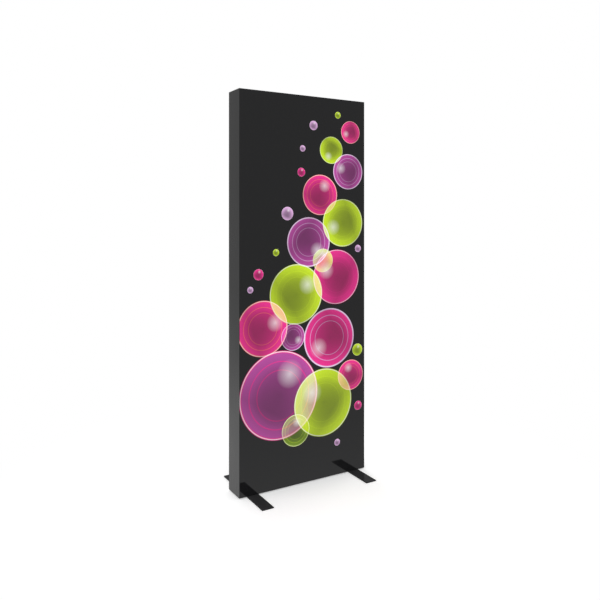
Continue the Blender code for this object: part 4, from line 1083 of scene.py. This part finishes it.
# %% [markdown]
# ## Driver
#
# The driver turns mains power into the low voltage of the LEDs. A slim one lies in the bottom
# rail: a long white moulded case with shallow ribs on top, and a cap at each end where the
# leads go in. It is made of bars with rounded sections, which overlap as the moulded
# parts of the real case do.

# %% LED driver
CASE_INSET = 0.4 * MM
CASE_EDGE = 1.5 * MM
CAP_LENGTH = 12.0 * MM
BOSS_LENGTH = 1.5 * MM
BOSS_WALL = 0.3 * MM
RIBS = 7
RIB_WIDTH = 1.2 * MM
DRIVER_LEADS = [
    # end of the driver, place across it and radius of each lead that goes in
    (-1, 6.0 * MM, 2.5 * MM),
    (-1, -6.0 * MM, 2.5 * MM),
    (1, 0.0, 3.5 * MM),
]

driver_case = surface(  # satin, with the fine grit of the mould
    "moulded_white_polycarbonate",
    ("#DEDEDB", "#E6E6E4", 60),
    (0.32, 0.45, 10),
    (0.8, 0.02),
    {"IOR": 1.58},
)

low, high = np.array(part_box("led_driver"))
middle, half = (low + high) / 2, (high - low) / 2
reach = half[0] - BOSS_LENGTH
bar_ends = [(-reach + CASE_EDGE, 0), (reach - CASE_EDGE, 0)]
case = rounded_bar(half[1] - CASE_INSET, half[2] - CASE_INSET, CASE_EDGE, bar_ends)
skins = [(moved(case, middle, 1), driver_case)]
rib_end = reach - CAP_LENGTH + CASE_EDGE / 2  # where the caps are at their full height
for number in range(RIBS):
    across = (number - (RIBS - 1) / 2) * 2 * (half[1] - CASE_EDGE) / RIBS
    rib = rounded_bar(RIB_WIDTH / 2, CASE_INSET, CASE_INSET / 2, [(-rib_end, 0), (rib_end, 0)])
    skins.append((moved(rib, middle + (0, across, half[2] - CASE_INSET), 1), driver_case))
for end in (-1, 1):
    stations = [(0, CASE_EDGE / 2), (CASE_EDGE / 2, 0), (CAP_LENGTH - CASE_EDGE / 2, 0)]
    stations.append((CAP_LENGTH, CASE_EDGE / 2))
    cap = rounded_bar(half[1], half[2], CASE_EDGE, stations)
    place = middle + (end * (reach - CAP_LENGTH / 2) - CAP_LENGTH / 2, 0, 0)
    skins.append((moved(cap, place, 1), driver_case))
for end, across, lead_radius in DRIVER_LEADS:
    radius = lead_radius + BOSS_WALL
    boss = turned([(radius, -BOSS_LENGTH), (radius, BOSS_LENGTH)], ROUND_STEPS)
    place = (middle[0] + end * reach, middle[1] + across, low[2] + radius)
    skins.append((moved(boss, place, 1), driver_case))
make_piece("led_driver_moulded", skins, "led_driver")


# %% [markdown]
# ## Power inlet
#
# The inlet is one black moulding with a socket, a fuse drawer and a rocker switch. Moulded nylon
# is matt from the spark-eroded mould, with rounded edges, and the pins in the socket are
# nickel-plated brass, bright and slightly warm. The measured housing keeps its shape, so it is
# copied and eased, and the faces of its pins are found by their place.

# %% Housing, pins and drawer
black_nylon = surface(
    "moulded_black_nylon", ("#141414", "#191919", 12), (0.38, 0.52, 4), (0.5, 0.02), {"IOR": 1.53}
)
nickel = surface(
    "nickel_plated_brass", ("#C9C4B8", "#D6D2C6", 10), (0.12, 0.25, 1), (1, 0.005), METAL
)

PIN_SPACE = np.array([(6.0, -9.0, -19.0), (19.9, 9.0, -8.0)]) * MM  # depth, across and up
THICK_MOULDED_EDGE, FINE_MOULDED_EDGE = 0.5 * MM, 0.3 * MM

for side in SIDES:
    eased_copy(f"{side}_crossbar_bracket", black_nylon, THICK_MOULDED_EDGE)
eased_copy("fuse_drawer", black_nylon, FINE_MOULDED_EDGE)
housing = eased_copy("inlet_housing", black_nylon, FINE_MOULDED_EDGE)
housing.data.materials.append(nickel)
low, high = np.array(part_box("inlet_housing"))
inlet_middle = (low + high) / 2
centres = np.zeros(3 * len(housing.data.polygons))
housing.data.polygons.foreach_get("center", centres)
centres = centres.reshape(-1, 3)
places = np.stack([HALF_WIDTH - centres[:, 0], *(centres[:, 1:] - inlet_middle[1:]).T], -1)
is_pin = ((places > PIN_SPACE[0]) & (places < PIN_SPACE[1])).all(1)
housing.data.polygons.foreach_set("material_index", is_pin.astype(np.int32))
print(f"inlet: {is_pin.sum()} faces of its pins are nickel")


# %% [markdown]
# The rocker has a shallow dished face, and its back is an arc about its pivot, so it turns
# inside its pocket without touching it. Fingers have polished its nylon a little. The bar and the
# ring that mark on and off are printed, and are worked out in the material from the distance
# to two points of the face.

# %% Rocker switch
ROCKER_REACH, ROCKER_WIDTH = 9.4 * MM, 12.0 * MM
DISH_MIDDLE, DISH_RISE = 2.6 * MM, 1.2 * MM
ROCKER_TILT = np.radians(8)
ROCKER_EDGE = 0.4 * MM
ROCKER_STEPS = 25
MARK_OFFSET = 5.2 * MM
MARK_LINE = 0.35 * MM
RING_RADIUS = 1.6 * MM
BAR_REACH = 1.9 * MM

pivot = next(joint["pos_m"] for joint in frame["joints"] if joint["name"] == "rocker_press")
rocker_low, rocker_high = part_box("inlet_rocker")
rocker_middle = (rocker_low.z + rocker_high.z) / 2

marked_nylon, tree = new_tree("black_nylon_with_printed_marks")
place = add_node(tree, "TexCoord").outputs["Object"]
on_face = add_node(tree, "VectorMath", {0: place, 1: (0, 1, 1)}, operation="MULTIPLY")
ring_middle = (0, pivot[1] + MARK_OFFSET, rocker_middle)
bar_middle = (0, pivot[1] - MARK_OFFSET, rocker_middle)
to_ring = add_node(tree, "VectorMath", {0: on_face, 1: ring_middle}, operation="DISTANCE")
ring = add_node(tree, "Math", {0: to_ring, 1: RING_RADIUS, 2: MARK_LINE}, operation="COMPARE")
to_bar = add_node(tree, "VectorMath", {0: on_face, 1: bar_middle}, operation="SUBTRACT")
bar_parts = add_node(tree, "SeparateXYZ", {0: to_bar}).outputs
beside = add_node(tree, "Math", {0: bar_parts["Y"], 1: 0.0, 2: MARK_LINE}, operation="COMPARE")
level = add_node(tree, "Math", {0: bar_parts["Z"], 1: 0.0, 2: BAR_REACH}, operation="COMPARE")
bar = add_node(tree, "Math", {0: beside, 1: level}, operation="MULTIPLY")
marks = add_node(tree, "Math", {0: ring, 1: bar}, operation="MAXIMUM")
nylon = tint(tree, grain(tree, 12 * MM), "#161616", "#1B1B1B")
printed = add_node(tree, "Mix", {0: marks, 6: nylon, 7: linear("#E8E8E8")}, data_type="RGBA")
look = {"Base Color": printed, "IOR": 1.53}
grit = grain(tree, 0.5 * MM)
finish(tree, look | uneven(tree, grain(tree, 4 * MM), 0.25, 0.38, grit, 0.01 * MM))

across = np.linspace(ROCKER_REACH, -ROCKER_REACH, ROCKER_STEPS)
dish = -(DISH_MIDDLE + DISH_RISE * (across / ROCKER_REACH) ** 2)
angle = np.linspace(-np.pi / 2, np.pi / 2, ROCKER_STEPS)
u = np.concatenate([dish, ROCKER_REACH * np.cos(angle)])
v = np.concatenate([across, ROCKER_REACH * np.sin(angle)])
half = ROCKER_WIDTH / 2
places = np.array([-half, ROCKER_EDGE - half, half - ROCKER_EDGE, half])
size = 1 - np.array([ROCKER_EDGE, 0, 0, ROCKER_EDGE]) / ROCKER_REACH
cosine, sine = np.cos(ROCKER_TILT), np.sin(ROCKER_TILT)
tilted_u = HALF_WIDTH - pivot[0] + np.outer(size, u * cosine - v * sine)
tilted_v = -pivot[1] + np.outer(size, u * sine + v * cosine)
w = np.broadcast_to(rocker_middle + places[:, None], tilted_u.shape)
points, faces = skin(np.stack([tilted_u, tilted_v, w], -1))
rocker_skin = (on_side("right", points), faces)
make_piece("inlet_rocker_moulded", [(rocker_skin, marked_nylon)], "inlet_rocker")


# %% [markdown]
# The fuse lies in the drawer's tray. It is a glass tube between two nickel caps, with a thin wire
# inside. The tube is turned as one wall, out along the outside and back along the bore, so
# light goes through real glass and the wire shows.

# %% Fuse
FUSE_CAP_LENGTH, FUSE_STEP, FUSE_GLASS, FUSE_WIRE = 5.0 * MM, 0.3 * MM, 0.5 * MM, 0.15 * MM
WIRE_STEPS = 8

clear_glass = surface(  # clear and polished by the flame it was drawn in
    "drawn_glass_tube",
    ("#F4F8F5", "#FBFDFB", 5),
    (0.0, 0.04, 3),
    (2, 0.005),
    {"IOR": 1.5, "Transmission Weight": 1.0},
)

low, high = np.array(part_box("fuse"))
middle, (radius, reach, _) = (low + high) / 2, (high - low) / 2
cap_end = reach - FUSE_CAP_LENGTH
outer = radius - FUSE_STEP
inner = outer - FUSE_GLASS
glass = cap_end + FUSE_STEP  # the tube reaches this far, into its caps
tube = [(outer, -glass), (outer, glass), (inner, glass), (inner, -glass), (outer, -glass)]
shells = [(turned(tube, ROUND_STEPS, caps=False), clear_glass)]
wire = turned([(FUSE_WIRE, -cap_end), (FUSE_WIRE, cap_end)], WIRE_STEPS)
shells.append((wire, solder_tin))
for end in (-1, 1):
    cap = [(radius, end * cap_end), (radius, end * (reach - FUSE_STEP))]
    cap.append((radius - FUSE_STEP, end * reach))
    shells.append((turned(cap, ROUND_STEPS), nickel))
shells = [(moved(shell, middle, 2), material) for shell, material in shells]
make_piece("fuse_turned", shells, "fuse")


# %% [markdown]
# ## Leads
#
# The leads inside the frame are held all along their way, so their measured route is kept. A
# coarse tube becomes a round one with one level of Subdivision Surface, whose rounding is
# held back at both ends by a crease. It draws a ring of n corners in to (3 + cos(360 / n)) / 4 of
# its radius, so Displace swells the tube by as much first.

# %% Leads
# rubbery and dull, a little wavy from the extruder
lead_jacket = surface(
    "extruded_pvc_jacket", ("#161617", "#1D1D1E", 20), (0.4, 0.52, 6), (1.5, 0.03), {"IOR": 1.52}
)
PAIRING_ANGLE = np.radians(30)
END_ANGLE = np.radians(60)  # between a side and the end, past the turn from one side to the next

LEADS = ["mains_lead"] + [f"{side}_led_{kind}" for side in SIDES for kind in ("lead", "jumper")]
for node in LEADS:
    mesh = dress(node, lead_jacket, copied=True)
    clean_mesh(mesh)
    bm = bmesh.new()
    bm.from_mesh(mesh)
    bmesh.ops.join_triangles(
        bm, faces=bm.faces, angle_face_threshold=PAIRING_ANGLE, angle_shape_threshold=np.pi
    )
    crease = bm.edges.layers.float.new("crease_edge")
    ends = [edge for edge in bm.edges if edge.calc_face_angle() > END_ANGLE]
    for edge in ends:
        edge[crease] = 1.0
    corner_angle = 2 * np.pi / (len(ends) / 2)
    radius = np.mean([edge.calc_length() for edge in ends]) / (2 * np.sin(corner_angle / 2))
    bm.to_mesh(mesh)
    bm.free()
    mesh.shade_smooth()
    piece = place_piece(f"{node}_round", mesh, node)
    swelling = piece.modifiers.new("swelling", "DISPLACE")
    swelling.mid_level = 0.0
    swelling.strength = radius * (4 / (3 + np.cos(corner_angle)) - 1)
    rounding = piece.modifiers.new("rounding", "SUBSURF")
    rounding.levels = rounding.render_levels = 1
    print(f"{node}: {2 * radius / MM:.1f} mm thick, rings of {len(ends) // 2} corners")
